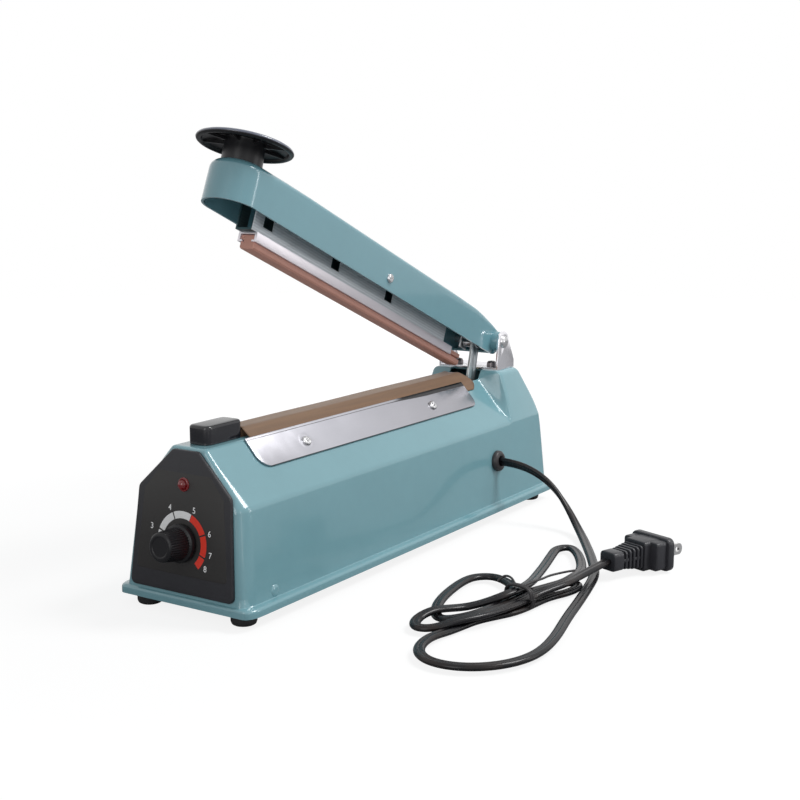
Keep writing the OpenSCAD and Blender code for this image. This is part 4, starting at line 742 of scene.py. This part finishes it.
# control panel: heights of its corners up the housing, half widths there, dial as degrees and
# radii, digits as (text, x, height)
panel = {"z": (12.8, 63.5, 83.8), "half": (33.6, 29.8, 8.2), "corners": (3.2, 3.2, 4, 3, 3, 4),
         "thick": 1.8, "edge": 0.7, "leanAngle": 5.2, "labelHalf": (29.4, 25.6, 16.78),
         "labelIn": (9.24, -1.26, -11.34), "labelCorner": 2.2, "dialZ": 38.0, "ring": (12.3, 15.9),
         "ringLevel": 1.93, "ringThick": 0.08, "white": [(169, 162.2), (158.8, 115.0), (111.9, 69.6)],
         "red": [(68.6, 24.5), (21.4, -18.8), (-22.0, -45.5)],
         "digits": [("3", -19.8, 43.9), ("4", -8.4, 54.6), ("5", 7.2, 54.9), ("6", 17.5, 44.8),
                    ("7", 18.4, 34.3), ("8", 15.5, 27.3)],
         "digitSize": 4.3, "digitNarrow": 0.92, "digitLevel": 1.92, "digitThick": 0.04, "digitBold": 0.045}
lamp = {"z": 67, "profile": [(3.5, 1.5), (3.5, 2.2), (3.3, 2.45), (2.9, 2.5), (2.75, 2.3), (2.6, 2.4),
                             (2.55, 2.9), (2.35, 3.6), (1.95, 4.2), (1.3, 4.7), (0.6, 4.95), (0, 5.0)]}
knob = {"out": 2.3, "flutes": 40, "fluteDepth": 0.32, "fluteSpan": (3.3, 14.6),
        "profile": [(3.1, 2.0), (5.4, 2.0), (5.6, 1.0), (5.8, 0.0), (9.2, 0.0), (9.6, 0.4), (9.6, 2.2),
                    (9.35, 2.75), (8.9, 3.0), (8.55, 3.1), (8.4, 3.4), (8.1, 7), (7.75, 11), (7.45, 14.3),
                    (7.25, 14.7), (6.9, 15.1), (6.2, 15.45), (5.4, 15.5), (5.0, 15.4), (4.7, 15.2),
                    (0, 15.15)]}


def onFace(points, z=hull["faceZ"], out=0.0):
    # x across, y up the leaning face from height z, z out of it
    p = turnedAbout(np.asarray(points, float) + [0, 0, out], "x", 90 - panel["leanAngle"])
    return p + [0, hull["faceFront"] + hull["lean"] * (z - hull["faceZ"]), z]


def upFace(z):
    # distance up the leaning face to height z
    return (z - hull["faceZ"]) / math.cos(math.radians(panel["leanAngle"]))


def sixSided(half, heights, corners):
    # two lower corners, two shoulders and two upper corners, from half widths and heights
    (a, b, c), (u, v, w) = half, heights
    return roundedOutline([[-a, u], [a, u], [b, v], [c, w], [-c, w], [-b, v]], corners)


def ringPart(name, spans):
    # flat ring segments: points at two radii along each span of angles, given a little thickness
    parts = []
    for first, last in spans:
        a = np.radians(np.linspace(first, last, 25))[:, None]
        r = np.array(panel["ring"])[None, :]
        flat = np.stack([r * np.cos(a), r * np.sin(a) + upFace(panel["dialZ"]),
                         0 * a + 0 * r + panel["ringLevel"]], -1)
        low = flat - [0, 0, panel["ringThick"]]
        pts = np.stack([low[:, 0], flat[:, 0], flat[:, 1], low[:, 1]], 1)
        parts.append(meshPiece("part", onFace(pts.reshape(-1, 3)), tubeFaces(len(pts), 4), merge=0.001))
    return joinPieces(name, parts)


def digitMeshes():
    parts = []
    for text, x, z in panel["digits"]:
        curve = bpy.data.curves.new("digit", "FONT")
        curve.body, curve.size, curve.align_x, curve.align_y = text, panel["digitSize"], "CENTER", "CENTER"
        curve.extrude, curve.offset = panel["digitThick"], panel["digitBold"]
        drawn = linked("digit", curve)
        mesh = evaluatedMesh(drawn)
        bpy.data.objects.remove(drawn)
        co = onFace(vertexPoints(mesh) * [panel["digitNarrow"], 1, 1] + [x, upFace(z), panel["digitLevel"]])
        mesh.vertices.foreach_set("co", (co * mm).ravel())
        parts.append(linked("digit", mesh))
    return joinPieces("dial_digits", parts)


def lensFinish():
    # clear red moulding, darker and lighter in soft cells
    f = Finish("lamp_red_lens")
    cells = f.noise(3.0, 1)
    return f.shade(Base_Color=f.mix(cells, (0.17, 0.003, 0.006), (0.27, 0.006, 0.010)),
                   Roughness=0.1 + cells * 0.06, Coat_Weight=0.3, Coat_Roughness=0.04,
                   Normal=f.bump(cells, 0.05, 0.05))


def fluted(a, r, h):
    # shallow scallops: the radius drops by depth * |cos(count a / 2)|, only between the skirt and the face
    on = ((h > knob["fluteSpan"][0]) & (h < knob["fluteSpan"][1])).astype(float)
    return r - on * knob["fluteDepth"] * np.abs(np.cos(a * knob["flutes"] / 2))


faceHeights = [upFace(z) for z in panel["z"]]
panelLevels = [(0, 0.05), (0, 0.9)] + softEdge(panel["edge"], 0.9, panel["thick"])[1:]
labelHeights = [z + shift for z, shift in zip(faceHeights, panel["labelIn"])]
panelPiece = stackedRings("panel_frame", sixSided(panel["half"], faceHeights, panel["corners"]),
                          panelLevels, onFace)
labelPiece = stackedRings("panel_label_sheet",
                          sixSided(panel["labelHalf"], labelHeights, panel["labelCorner"]),
                          [(0, 1.0), (0, 1.83), (0.12, 1.88)], onFace)
lampPiece = revolve("lamp_dome", lamp["profile"], 48, lambda p: onFace(p, lamp["z"]))
knobPiece = revolve("dial_knob", knob["profile"], 240, lambda p: onFace(p, panel["dialZ"], knob["out"]),
                    wave=fluted)
finishPiece(panelPiece, "base", panelBlack, ["control_panel"])
finishPiece(labelPiece, "base", labelGrey, ["panel_label"])
finishPiece(ringPart("dial_ring_white", panel["white"]), "base", printWhite)
finishPiece(ringPart("dial_ring_red", panel["red"]), "base", printRed)
finishPiece(digitMeshes(), "base", printWhite)
finishPiece(lampPiece, "base", lensFinish(), ["pilot_lamp"])
finishPiece(knobPiece, "timer", dialBlack, ["timer_knob"])
print("control panel done")

# front block on the ridge: length along the body, place of its middle and foot
block = {"length": 27.4, "width": 13.4, "height": 9.8, "y": -124.893, "z": 85.0, "corner": 3.4, "edge": 1.5}
blockLevels = [(0.25, 0.0), (0, 0.25)] + softEdge(block["edge"], 0.3, block["height"] - 0.15, 5)
blockLevels += [(2.6, block["height"] - 0.03)]
blockPiece = stackedRings("front_cap", boxOutline(block["width"], block["length"], block["corner"]),
                          blockLevels, lambda p: p + [0, block["y"], block["z"]], edge=50)
finishPiece(blockPiece, "base", blockBlack, ["front_block"])

# clamp plates: angle of the slope in degrees, gap and thickness out of it, width down it, screws
# as (y, turn), head as radius and height
clamp = {"angle": 48.25, "down": (0.666, -0.746), "gap": 0.44, "thick": 0.8, "edge": 0.22, "width": 18.4,
         "y": (-116.193, 98.807), "corners": (0.8, 8.0, 5.0, 0.8), "screws": [(-74.193, 22), (52.807, 64)],
         "screwDown": 10.5, "head": (2.9, 1.5), "ringPitch": 4.4, "ringReach": (3, 6.5), "shadeLineDown": 1.5,
         "shadeLineNarrow": 0.16, "shadeLineWide": 0.95}


def clampFinish():
    # polished plate: soft waves round each screw, a thin band of painted shade under the upper edge,
    # painted shadow along the lower edge and in a patch at the upper edge, tones along its length as a
    # painted reflection, faint lengthwise rolling marks
    f = Finish("clamp_plate_polish")
    at = f.place()
    y = f.axis("Y", at)
    dx, dz = clamp["down"]
    ridgeDown = (hull["ridge"][0] * dx + hull["ridge"][1] * dz) * mm
    down = abs(f.axis("X", at)) * dx + f.axis("Z", at) * dz - ridgeDown
    roll, cloud = f.noise(0.4, 3, stretch=(1, 0.02, 1)), f.noise(26, 2)
    near, far = (d * mm for d in clamp["ringReach"])
    waves = []
    for place, _ in clamp["screws"]:
        d = ((y - place * mm) ** 2.0 + (down - clamp["screwDown"] * mm) ** 2.0) ** 0.5
        waves.append((d * (2 * math.pi / (clamp["ringPitch"] * mm))).cosine() * (1 - d.between(near, far)))
    # painted shade: a dark band just under the upper edge, also made dull and barely metallic
    wide = clamp["shadeLineNarrow"] * mm + y.between(10 * mm, 60 * mm) * (clamp["shadeLineWide"] * mm)
    line = 1 - (abs(down - clamp["shadeLineDown"] * mm - wide * 0.6) / wide).between(0.8, 1.1)
    # painted shadow along the lower edge
    rim = down.between(18.05 * mm, 18.2 * mm)
    # painted shadow: a dark patch at the upper edge, where the cloth meets the plate
    upperEdgeShadow = (1 - down.between(1.2 * mm, 1.5 * mm)) * y.between(18 * mm, 30 * mm)
    # painted reflection: grey at the front end, brightest about a third along, darker again towards the rear
    along = f.mix((y * 5.2 + 0.5).clamped(), (0.585, 0.585, 0.635), (0.39, 0.385, 0.415))
    along = f.mix(y.between(-110 * mm, -45 * mm), (0.47, 0.465, 0.50), along)
    # the painted shade and shadows together, drawn nearly black
    dark = (line * 0.97 + rim * 0.8 + upperEdgeShadow).clamped()
    return f.shade(Base_Color=f.mix(dark, f.tone(along, roll * 0.4 + cloud * 0.6, 0.08),
                                    (0.012, 0.011, 0.012)), Metallic=0.92 - line * 0.9,
                   Roughness=0.14 + cloud * 0.12 + roll * 0.04 + line * 0.4,
                   Normal=f.bump((waves[0] + waves[1]) * 0.45 + cloud * 2.4 + roll * 0.06, 0.5, 0.3))


def onSlope(points, side=1):
    # x down the slope, y along the body, z out of the slope
    p = turnedAbout(points, "y", clamp["angle"]) + [hull["ridge"][0], 0, hull["ridge"][1]]
    return p * [side, 1, 1]


clampPolish = clampFinish()
clampGap, clampTop = clamp["gap"], clamp["gap"] + clamp["thick"]
clampFront, clampRear = clamp["y"]
clampLevels = [(0, clampGap), (0, clampGap + 0.5)] + softEdge(clamp["edge"], clampGap + 0.5, clampTop, 3)[1:]
clampCorners = [[0, clampFront], [clamp["width"], clampFront], [clamp["width"], clampRear], [0, clampRear]]
for side, name in ((1, "right"), (-1, "left")):
    outline = roundedOutline(clampCorners, clamp["corners"], 9)
    plate = stackedRings("clamp_" + name, outline, clampLevels, lambda p: onSlope(p, side))
    finishPiece(plate, "base", clampPolish, ["clamp_plate_" + name])


def clampHead(side, y, turn):
    place = lambda p: onSlope(turnedAbout(p, "z", turn) + [clamp["screwDown"], y, clampTop], side)
    return screwHead("clamp_head", *clamp["head"], place)


clampHeads = [clampHead(side, y, turn) for side in (1, -1) for y, turn in clamp["screws"]]
finishPiece(joinPieces("clamp_screw_heads", clampHeads), "base", screwSteel, ["clamp_screws"])

# cover cloth: height over the bar, half width of the flat top, bend radius, length down the
# slope, gap under it
cloth = {"top": 90.0, "half": 5.16, "bend": 2.6, "ridgeBend": 2.0, "down": 7.0, "off": 0.30, "thick": 0.24,
         "y": (-111.1, 104.6), "tongue": 7.5, "tongueBack": 5.0, "ripple": 0.072, "rippleLength": 17.0,
         "endLift": 2.2, "endSpread": 0.5}


def clothFinish():
    # glass cloth coated brown: two crossing weaves, tones that run lengthwise, a painted shade that
    # darkens it down the bend and slope, a slight gloss
    f = Finish("coated_cloth")
    at = f.place()
    x, y, z = (f.axis(a, at) for a in "XYZ")
    k = 2 * math.pi / (0.9 * mm)
    weave = ((x * 0.8 - z * 0.6) * k).sine() * (y * k).sine()
    streak, cloud = f.noise(2.2, 4, 0.6, stretch=(1, 0.03, 1)), f.noise(9, 3)
    # painted shade: darker from the top of the bar down over the bend and the slope
    low = (90.2 * mm - z).between(0.0, 5.0 * mm)
    colour = f.mix(low, (0.27, 0.165, 0.098), (0.245, 0.137, 0.072))
    colour = f.mix((streak * 1.3 - 0.3 + weave * 0.05).clamped(), colour, (0.16, 0.10, 0.066))
    return f.shade(Base_Color=colour, Roughness=0.42 + cloud * 0.12 + weave * 0.03, Sheen_Weight=0.1,
                   Specular_IOR_Level=0.34, Normal=f.bump(weave + cloud * 2.5, 0.35, 0.05))


def clothSection():
    # half section in (x, z): along the bar's top, over a rounded edge, down to the ridge's
    # corner and on down the slope
    down = np.array(clamp["down"])
    corner = np.array(hull["ridge"]) + np.array([-down[1], down[0]]) * cloth["off"]
    knee = np.array([cloth["half"], cloth["top"]])
    foot = corner + down * cloth["down"]
    a = arcPoints(np.array([[0, cloth["top"]]]), knee[None], corner[None], cloth["bend"], 7)[0][0]
    b = arcPoints(knee[None], corner[None], foot[None], cloth["ridgeBend"], 7)[0][0]
    flat = np.column_stack([np.linspace(0, a[0, 0], 6)[:-1], np.full(5, cloth["top"])])
    return np.vstack([flat, a, a[-1] + (b[0] - a[-1]) * np.linspace(0, 1, 6)[1:-1, None], b,
                      b[-1] + (foot - b[-1]) * np.linspace(0, 1, 8)[1:, None]])


def clothSheet():
    # the section carried along the body; the rear edge sweeps back as it comes down, so that
    # the end hangs as a tongue
    half = clothSection()
    run = np.concatenate([[0], np.cumsum(np.linalg.norm(np.diff(half, axis=0), axis=1))])
    s = (run / run[-1])[None, :]
    t = np.linspace(0, 1, 110)[:, None]
    front = cloth["y"][0]
    tongue = cloth["tongue"] * np.sin(np.clip(s / 0.8, 0, 1) * math.pi / 2) ** 2
    rear = cloth["y"][1] + tongue - cloth["tongueBack"] * np.clip((s - 0.72) / 0.28, 0, 1) ** 2
    y = front * (1 - t) + rear * t
    ripple = cloth["ripple"] * np.sin(y / cloth["rippleLength"]) * np.sin(math.pi * np.clip(s * 1.7, 0, 1))
    end = np.clip((y - 96) / 12, 0, 1) ** 1.6
    z = half[None, :, 1] + ripple + cloth["endLift"] * end * s * (1 - s)
    right = np.stack([half[None, :, 0] + cloth["endSpread"] * end * s, y, z], -1)
    whole = np.concatenate([right[:, ::-1] * [-1, 1, 1], right[:, 1:]], 1)
    piece = meshPiece("cloth_strip", whole, gridFaces(*whole.shape[:2]).tolist(), edge=0)
    if sum(p.normal.z for p in piece.data.polygons) < 0:
        piece.data.flip_normals()
    thick = piece.modifiers.new("thickness", "SOLIDIFY")
    thick.thickness, thick.offset = cloth["thick"] * mm, 0
    return applyModifiers(piece), 2 * run[-1] * mm, (rear.mean() - front) * mm


clothPiece, clothWidth, clothLength = clothSheet()
finishPiece(clothPiece, "base", clothFinish(), ["cover_cloth"])
print("sealing line done")


def carrierFinish():
    # drawn steel: lengthwise lines at a fine pitch on the outer sides, painted shade within the channel,
    # and across its front end a painted shade in dark teal like the arm's shaded underside
    f = Finish("carrier_steel")
    at = f.place()
    x, y, z = (f.axis(a, at) for a in "XYZ")
    rows = ((z * 0.924 + y * 0.383) * (2 * math.pi / (1.5 * mm))).sine()
    grain, cloud = f.noise(0.5, 3, 0.6, stretch=(1, 0.02, 1)), f.noise(22, 2)
    # painted shade: dark within the channel
    channelShade = 1 - abs(x).between(4.6 * mm, 5.0 * mm)
    behind = (y * 0.924 - z * 0.383).between(-163.8 * mm, -163.4 * mm)
    # painted shade across the front end, a dark teal like the shaded underside of the arm
    front = (1 - x.between(4.2 * mm, 4.6 * mm)) * (1 - behind)
    outer = f.tone((0.68, 0.72, 0.75), grain * 0.5 + rows * 0.14 + cloud * 0.2 + 0.1, 0.3)
    colour = f.mix(front, f.mix(channelShade, outer, (0.05, 0.08, 0.085)), (0.03, 0.075, 0.085))
    return f.shade(Base_Color=colour, Metallic=0.35, Roughness=0.42 + grain * 0.14,
                   Normal=f.bump(rows + grain, 0.3, 0.04))


# solids whose edges are only rounded: body, finish, slot and rounding
softParts = {"hinge_bracket": ("base", chrome, "chrome_plate", 0.4),
             "strap_pin": ("arm", screwSteel, "chrome_plate", 0.25),
             "strap_bracket": ("arm", zincPlate, "floor_zinc", 0.2),
             "pull_strap": ("strap", strapZinc, "zinc_strap", 0.2),
             "press_bar_carrier": ("press_bar", carrierFinish(), "grey_carrier", 0.2),
             "press_bar_channel": ("press_bar", channelAlloy, "aluminium_channel", 0.22),
             "rubber_strip": ("press_bar", siliconeBrown, "silicone", 0.3),
             "rubber_feet": ("base", feetRubber, "black_rubber", 0.3),
             "heater_bar": ("base", laminate, "brown_laminate", 0.2)}
for node, (body, material, slot, width) in softParts.items():
    finishPiece(softened(node, width), body, material, [node])

# screws and pin: places as in the solids, reach being half the width across
bracketScrews = {"radius": 3.2, "height": 3.2, "x": 12.5, "y": 136.807, "z": 91.5, "turn": 31}
rocking = {"radius": 2.7, "height": 1.5, "reach": 15.2, "at": (1.807, 106.1), "turn": 20, "rod": 1.6,
           "rodReach": 15.3}
pinEnd = [(2.5, 22.0), (4.1, 22.0), (4.1, 22.3), (3.9, 22.9), (3.1, 23.5), (1.6, 23.85), (0, 23.9)]


def bracketHead(side):
    place = [side * bracketScrews["x"], bracketScrews["y"], bracketScrews["z"]]
    return screwHead("bracket_head", bracketScrews["radius"], bracketScrews["height"],
                     lambda p: turnedAbout(p, "z", bracketScrews["turn"] * side) + place, depth=1.2, slot=0.5)


def rockingHead(side):
    outwards = lambda p: turnedAbout(turnedAbout(p, "z", rocking["turn"]), "y", 90 * side)
    place = lambda p: swung(outwards(p) + [side * rocking["reach"], *rocking["at"]])
    return screwHead("rock_head", rocking["radius"], rocking["height"], place, depth=0.7, slot=0.36)


rodR, rodEnd = rocking["rod"], rocking["rodReach"]
rodProfile = [(0, -rodEnd), (rodR, -rodEnd), (rodR, rodEnd), (0, rodEnd)]
rockingRod = revolve("rock_rod", rodProfile, 24,
                     lambda p: swung(turnedAbout(p, "y", 90) + [0, *rocking["at"]]))
pinPiece = revolve("hinge_pin_turned", [(r, -h) for r, h in pinEnd[::-1]] + pinEnd, 48,
                   lambda p: turnedAbout(p, "y", 90) + [0, *arm["pin"]], edge=40)
bracketHeads = joinPieces("bracket_screw_heads", [bracketHead(-1), bracketHead(1)])
rockingScrew = joinPieces("rocking_screw_heads", [rockingHead(-1), rockingHead(1), rockingRod])
finishPiece(bracketHeads, "base", screwDark, ["bracket_screws"])
finishPiece(rockingScrew, "arm", screwSteel, ["rocking_screw"])
finishPiece(pinPiece, "base", screwSteel, ["hinge_pin"])

# turned parts on the right side, which leans by some degrees
sideLean = 5.9
grommet = {"at": (37.07, 100.807, 37.0),
           "profile": [(3.0, -3.9), (4.9, -3.9), (4.9, 0.1), (6.4, 0.1), (6.62, 0.4), (6.6, 1.6),
                       (6.35, 2.4), (5.8, 3.0), (5.0, 3.4), (4.2, 3.55), (3.5, 3.4), (3.1, 3.0), (3.0, 2.2),
                       (3.0, -3.9)]}
rivet = {"at": (39.35, -128.7, 14.6),
         "profile": [(3.1, -0.2), (3.1, 0.05), (2.9, 0.25), (2.3, 0.5), (1.4, 0.68), (0, 0.75)]}


def sideTurned(name, values, steps):
    return revolve(name, values["profile"], steps,
                   lambda p: turnedAbout(p, "y", 90 - sideLean) + values["at"])


finishPiece(sideTurned("grommet_ring", grommet, 56), "base", grommetRubber, ["cord_grommet"])
finishPiece(sideTurned("side_rivet", rivet, 40), "base", bodyPaint)
print("screws and small parts done")

# plug: place of the cord's end in it, turn in degrees; boxes as (width, height, corner, from,
# to, edge) along its length
plug = {"at": (150, 20, 10), "turn": -20.0, "ribs": 5, "ribFrom": 8.7, "ribPitch": 2.65, "ribLong": 1.5,
        "ribWidth": (11.3, 0.62), "ribHeight": (10.3, 0.7), "ribCorner": 1.8, "ribEdge": 0.3,
        "boxes": [(11.5, 10.5, 2.4, 0, 7.6, 0.8), (8.8, 7.8, 1.6, 7, 22, 0.3),
                  (15.4, 16.6, 2.2, 21.4, 35.5, 0.8), (25.0, 16.0, 2.0, 25.8, 35.5, 0.8),
                  (28.4, 18.6, 3.6, 33.4, 38.0, 1.0)],
        "spines": [(11.0, 1.8, 0.5, 7.0, 14.5, 0.2), (12.4, 1.8, 0.5, 14.0, 22.0, 0.2)]}
blade = {"apart": 12.7, "half": 3.15, "thick": 1.5, "from": 38.0, "root": -1.0, "straight": 11.6,
         "round": 2.4, "eyeAt": 10.2, "eye": 1.5}


def atPlug(points):
    # outline in x and z, length along y
    return turnedAbout(np.asarray(points, float)[:, [0, 2, 1]], "z", plug["turn"]) + plug["at"]


def plugBox(w, h, r, y0, y1, e):
    # a box with rounded corners whose both ends are rounded by e
    lower = [(e * (1 - math.sin(t)), y0 + e * (1 - math.cos(t))) for t in np.linspace(0, math.pi / 2, 4)]
    return stackedRings("part", boxOutline(w, h, r), lower + softEdge(e, y0, y1, 3)[1:], atPlug)


def plugRib(i):
    # each rib of the relief is wider and higher than the one before
    start = plug["ribFrom"] + plug["ribPitch"] * i
    (width, wider), (height, higher) = plug["ribWidth"], plug["ribHeight"]
    return plugBox(width + wider * i, height + higher * i, plug["ribCorner"], start, start + plug["ribLong"],
                   plug["ribEdge"])


def prong(x):
    # a flat bar with a rounded end and a round eye, cut as a sheet and given its thickness
    a, b = np.linspace(0, math.pi, 13), np.arange(20) / 20 * 2 * math.pi
    tip = np.column_stack([blade["half"] * np.cos(a), blade["straight"] + blade["round"] * np.sin(a)])
    edge = np.vstack([tip, [[-blade["half"], blade["root"]], [blade["half"], blade["root"]]]])
    eye = np.column_stack([blade["eye"] * np.cos(b), blade["eyeAt"] + blade["eye"] * np.sin(b)])
    work = bmesh.new()
    loops = [[work.verts.new((q[0] * mm, q[1] * mm, 0)) for q in ring] for ring in (edge, eye)]
    rims = [work.edges.new((v[i], v[(i + 1) % len(v)])) for v in loops for i in range(len(v))]
    bmesh.ops.triangle_fill(work, edges=rims, use_beauty=True)
    grown = bmesh.ops.extrude_face_region(work, geom=work.faces[:])
    for v in grown["geom"]:
        if isinstance(v, bmesh.types.BMVert):
            v.co.z += blade["thick"] * mm
    bmesh.ops.recalc_face_normals(work, faces=work.faces)
    work.verts.index_update()
    co = np.array([v.co for v in work.verts]) / mm
    faces = [[v.index for v in g.verts] for g in work.faces]
    work.free()
    flat = np.column_stack([x - blade["thick"] / 2 + co[:, 2], blade["from"] + co[:, 1], co[:, 0]])
    return meshPiece("prong", turnedAbout(flat, "z", plug["turn"]) + plug["at"], faces, edge=35, merge=0.005)


plugParts = [plugBox(*b) for b in plug["boxes"]] + [plugRib(i) for i in range(plug["ribs"])]
plugParts += [plugBox(*b) for b in plug["spines"]]
finishPiece(joinPieces("plug_shell", plugParts), "base", plugBlack, ["plug_body"])
prongs = [prong(side * blade["apart"] / 2) for side in (-1, 1)]
finishPiece(joinPieces("plug_prongs", prongs), "base", bladeNickel, ["plug_blades"])

# twist tie: two turns round the bundle, then both ends bent away
tie = {"at": (134.0, -51.0), "turn": -8.0, "wire": 0.75, "thin": 0.6, "turns": 2, "half": 8.2,
       "spread": 2.6, "middle": 6.9, "rise": 6.0, "floor": 0.9,
       "ends": [[(136, -50, 12.8), (137.5, -43, 13.2), (138, -34, 12.4), (137.5, -24, 11.4),
                 (139.5, -12, 10.4), (141.5, -3, 9.4)],
                [(131, -50, 12.8), (126.5, -46, 14.2), (121.5, -43.5, 13.6), (119, -46.5, 11.4)]]}


def tieWires():
    # the turns follow a squared-off circle: cosine and sine raised to a power below one
    g = np.linspace(0, 2 * math.pi * tie["turns"], 33)
    squared = lambda c: np.sign(c) * np.abs(c) ** 0.7
    height = tie["middle"] + tie["rise"] * squared(np.sin(g))
    loops = np.column_stack([tie["half"] * squared(np.cos(g)), tie["spread"] * (g / g[-1] - 0.5), height])
    loops = turnedAbout(loops, "z", tie["turn"]) + [*tie["at"], 0]
    loops[:, 2] = np.maximum(loops[:, 2], tie["floor"])
    wires = [sweep("tie_wire", loops, tie["wire"], 4)]
    wires += [sweep("tie_wire", end, tie["thin"]) for end in tie["ends"]]
    return joinPieces("twist_tie_wire", wires)


finishPiece(tieWires(), "base", grommetRubber, ["twist_tie"])
print("plug and tie done")

# finishes of the solids that stay as they are
plainParts = [(zincPlate, ["floor_plate", "transformer_frame", "spring_bracket"]),
              (boardGreen, ["circuit_board"]),
              (screwSteel, ["foot_screws", "foot_nuts", "timer_nut", "transformer_screws", "handle_screw",
                            "channel_rivets"]),
              (ivory, ["lamp_holder", "board_spacers", "terminal_block", "cord_clip"]),
              (ironSheets, ["transformer_core"]),
              (partsDark, ["timer_control", "board_components", "micro_switch"]),
              (coilTape, ["transformer_coil"]), (laminate, ["heater_tape"]),
              (ribbonNickel, ["heating_ribbon"]), (sleeveWhite, ["heater_leads"]),
              (brass, ["front_terminal", "rear_terminal", "timer_shaft"]), (printRed, ["switch_button"])]
for material, names in plainParts:
    for node in names:
        nodes[node].data.materials.clear()
        nodes[node].data.materials.append(material)

springShorter = 4.7  # pressed in, so that the strap's foot has room at the end of its travel
springPiece = softened("return_spring", 0.0, name="return_spring_coil")
co = vertexPoints(springPiece.data)
low, high = co[:, 2].min(), co[:, 2].max()
co[:, 2] = low + (co[:, 2] - low) * (1 - springShorter * mm / (high - low))
springPiece.data.vertices.foreach_set("co", co.ravel())
finishPiece(springPiece, "base", springSteel, ["return_spring"])
print("inner parts done")

# light: softboxes as place, aim, size in metres and watts; the room's strengths as the camera,
# surfaces and reflections see it
softboxes = {"top_box": ((0.72, 0.38, 1.1), (0, 0, 0.05), (0.45, 0.45), 10),
             "front_strip": ((0.18, -1.3, 0.5), (0, -0.1, 0.08), (0.52, 0.9), 3.3),
             "right_strip": ((1.05, -0.5, 0.3), (0, -0.1, 0.1), (0.07, 0.75), 0.5),
             "rear_strip": ((1.0, 0.55, 0.3), (0, -0.1, 0.1), (0.07, 0.75), 1.2)}
room = {"seen": ((1, 1, 1), 1.0), "soft": ((0.95, 0.98, 1), 0.29), "shiny": ((1, 1, 1), 0.95)}
floor = {"radius": 1600, "level": -0.2, "centre": 0.05, "from": 0.22, "to": 0.6, "glow": 1.08,
         "nearShare": 0.79}

world = bpy.data.worlds.new("white_room")
bpy.context.scene.world = world
world.use_nodes = True
tree = world.node_tree
tree.nodes.clear()
ray, mixed, both, out = (tree.nodes.new("ShaderNode" + kind)
                         for kind in ("LightPath", "MixShader", "MixShader", "OutputWorld"))
glows = {}
for part, (colour, strength) in room.items():
    glows[part] = tree.nodes.new("ShaderNodeBackground")
    glows[part].inputs[0].default_value, glows[part].inputs[1].default_value = (*colour, 1), strength
shownBy = [(ray.outputs["Is Glossy Ray"], both, 0), (glows["soft"].outputs[0], both, 1),
           (glows["shiny"].outputs[0], both, 2), (ray.outputs["Is Camera Ray"], mixed, 0),
           (both.outputs[0], mixed, 1), (glows["seen"].outputs[0], mixed, 2), (mixed.outputs[0], out, 0)]
for source, target, place in shownBy:
    tree.links.new(source, target.inputs[place])
for name, (place, aim, size, watts) in softboxes.items():
    light = bpy.data.lights.new(name, "AREA")
    light.shape, light.size, light.size_y, light.energy = "RECTANGLE", size[0], size[1], watts
    box = linked(name, light)
    box.location = place
    box.rotation_euler = (Vector(aim) - Vector(place)).to_track_quat("-Z", "Y").to_euler()


def floorFinish():
    # white card: bright by itself away from the object, lit by the lamps close to it so that
    # the contact shadow stays
    f = Finish("white_card")
    at = f.place(shift=(-floor["centre"], 0, 0))
    x, y = f.axis("X", at), f.axis("Y", at)
    far = ((x * x + y * y) ** 0.5).between(floor["from"], floor["to"])
    lit = f.node("ShaderNodeBsdfDiffuse", {}, {"Color": f.tone((0.92, 0.92, 0.92), f.noise(90, 2), 0.01)})
    dark = f.node("ShaderNodeBsdfDiffuse", {}, {"Color": (0.42, 0.42, 0.43, 1.0)})
    glow = f.node("ShaderNodeEmission", {}, {"Color": (1.0, 1.0, 1.0, 1.0), "Strength": floor["glow"]})
    share = f.node("ShaderNodeMixShader", {},
                   {0: floor["nearShare"] + far * (1 - floor["nearShare"]), 1: lit, 2: glow})
    whole = f.node("ShaderNodeMixShader", {}, {0: f.node("ShaderNodeLightPath"), 1: dark, 2: share})
    f.tree.links.new(whole.socket, f.out.inputs[0])
    return f.material


ring = np.arange(96) / 96 * 2 * math.pi
disc = np.column_stack([floor["radius"] * np.cos(ring), floor["radius"] * np.sin(ring),
                        0 * ring + floor["level"]])
floorPiece = meshPiece("floor_card", disc, [list(range(96))])
floorPiece.data.materials.append(floorFinish())
print("light and floor done")

print("scene ready")
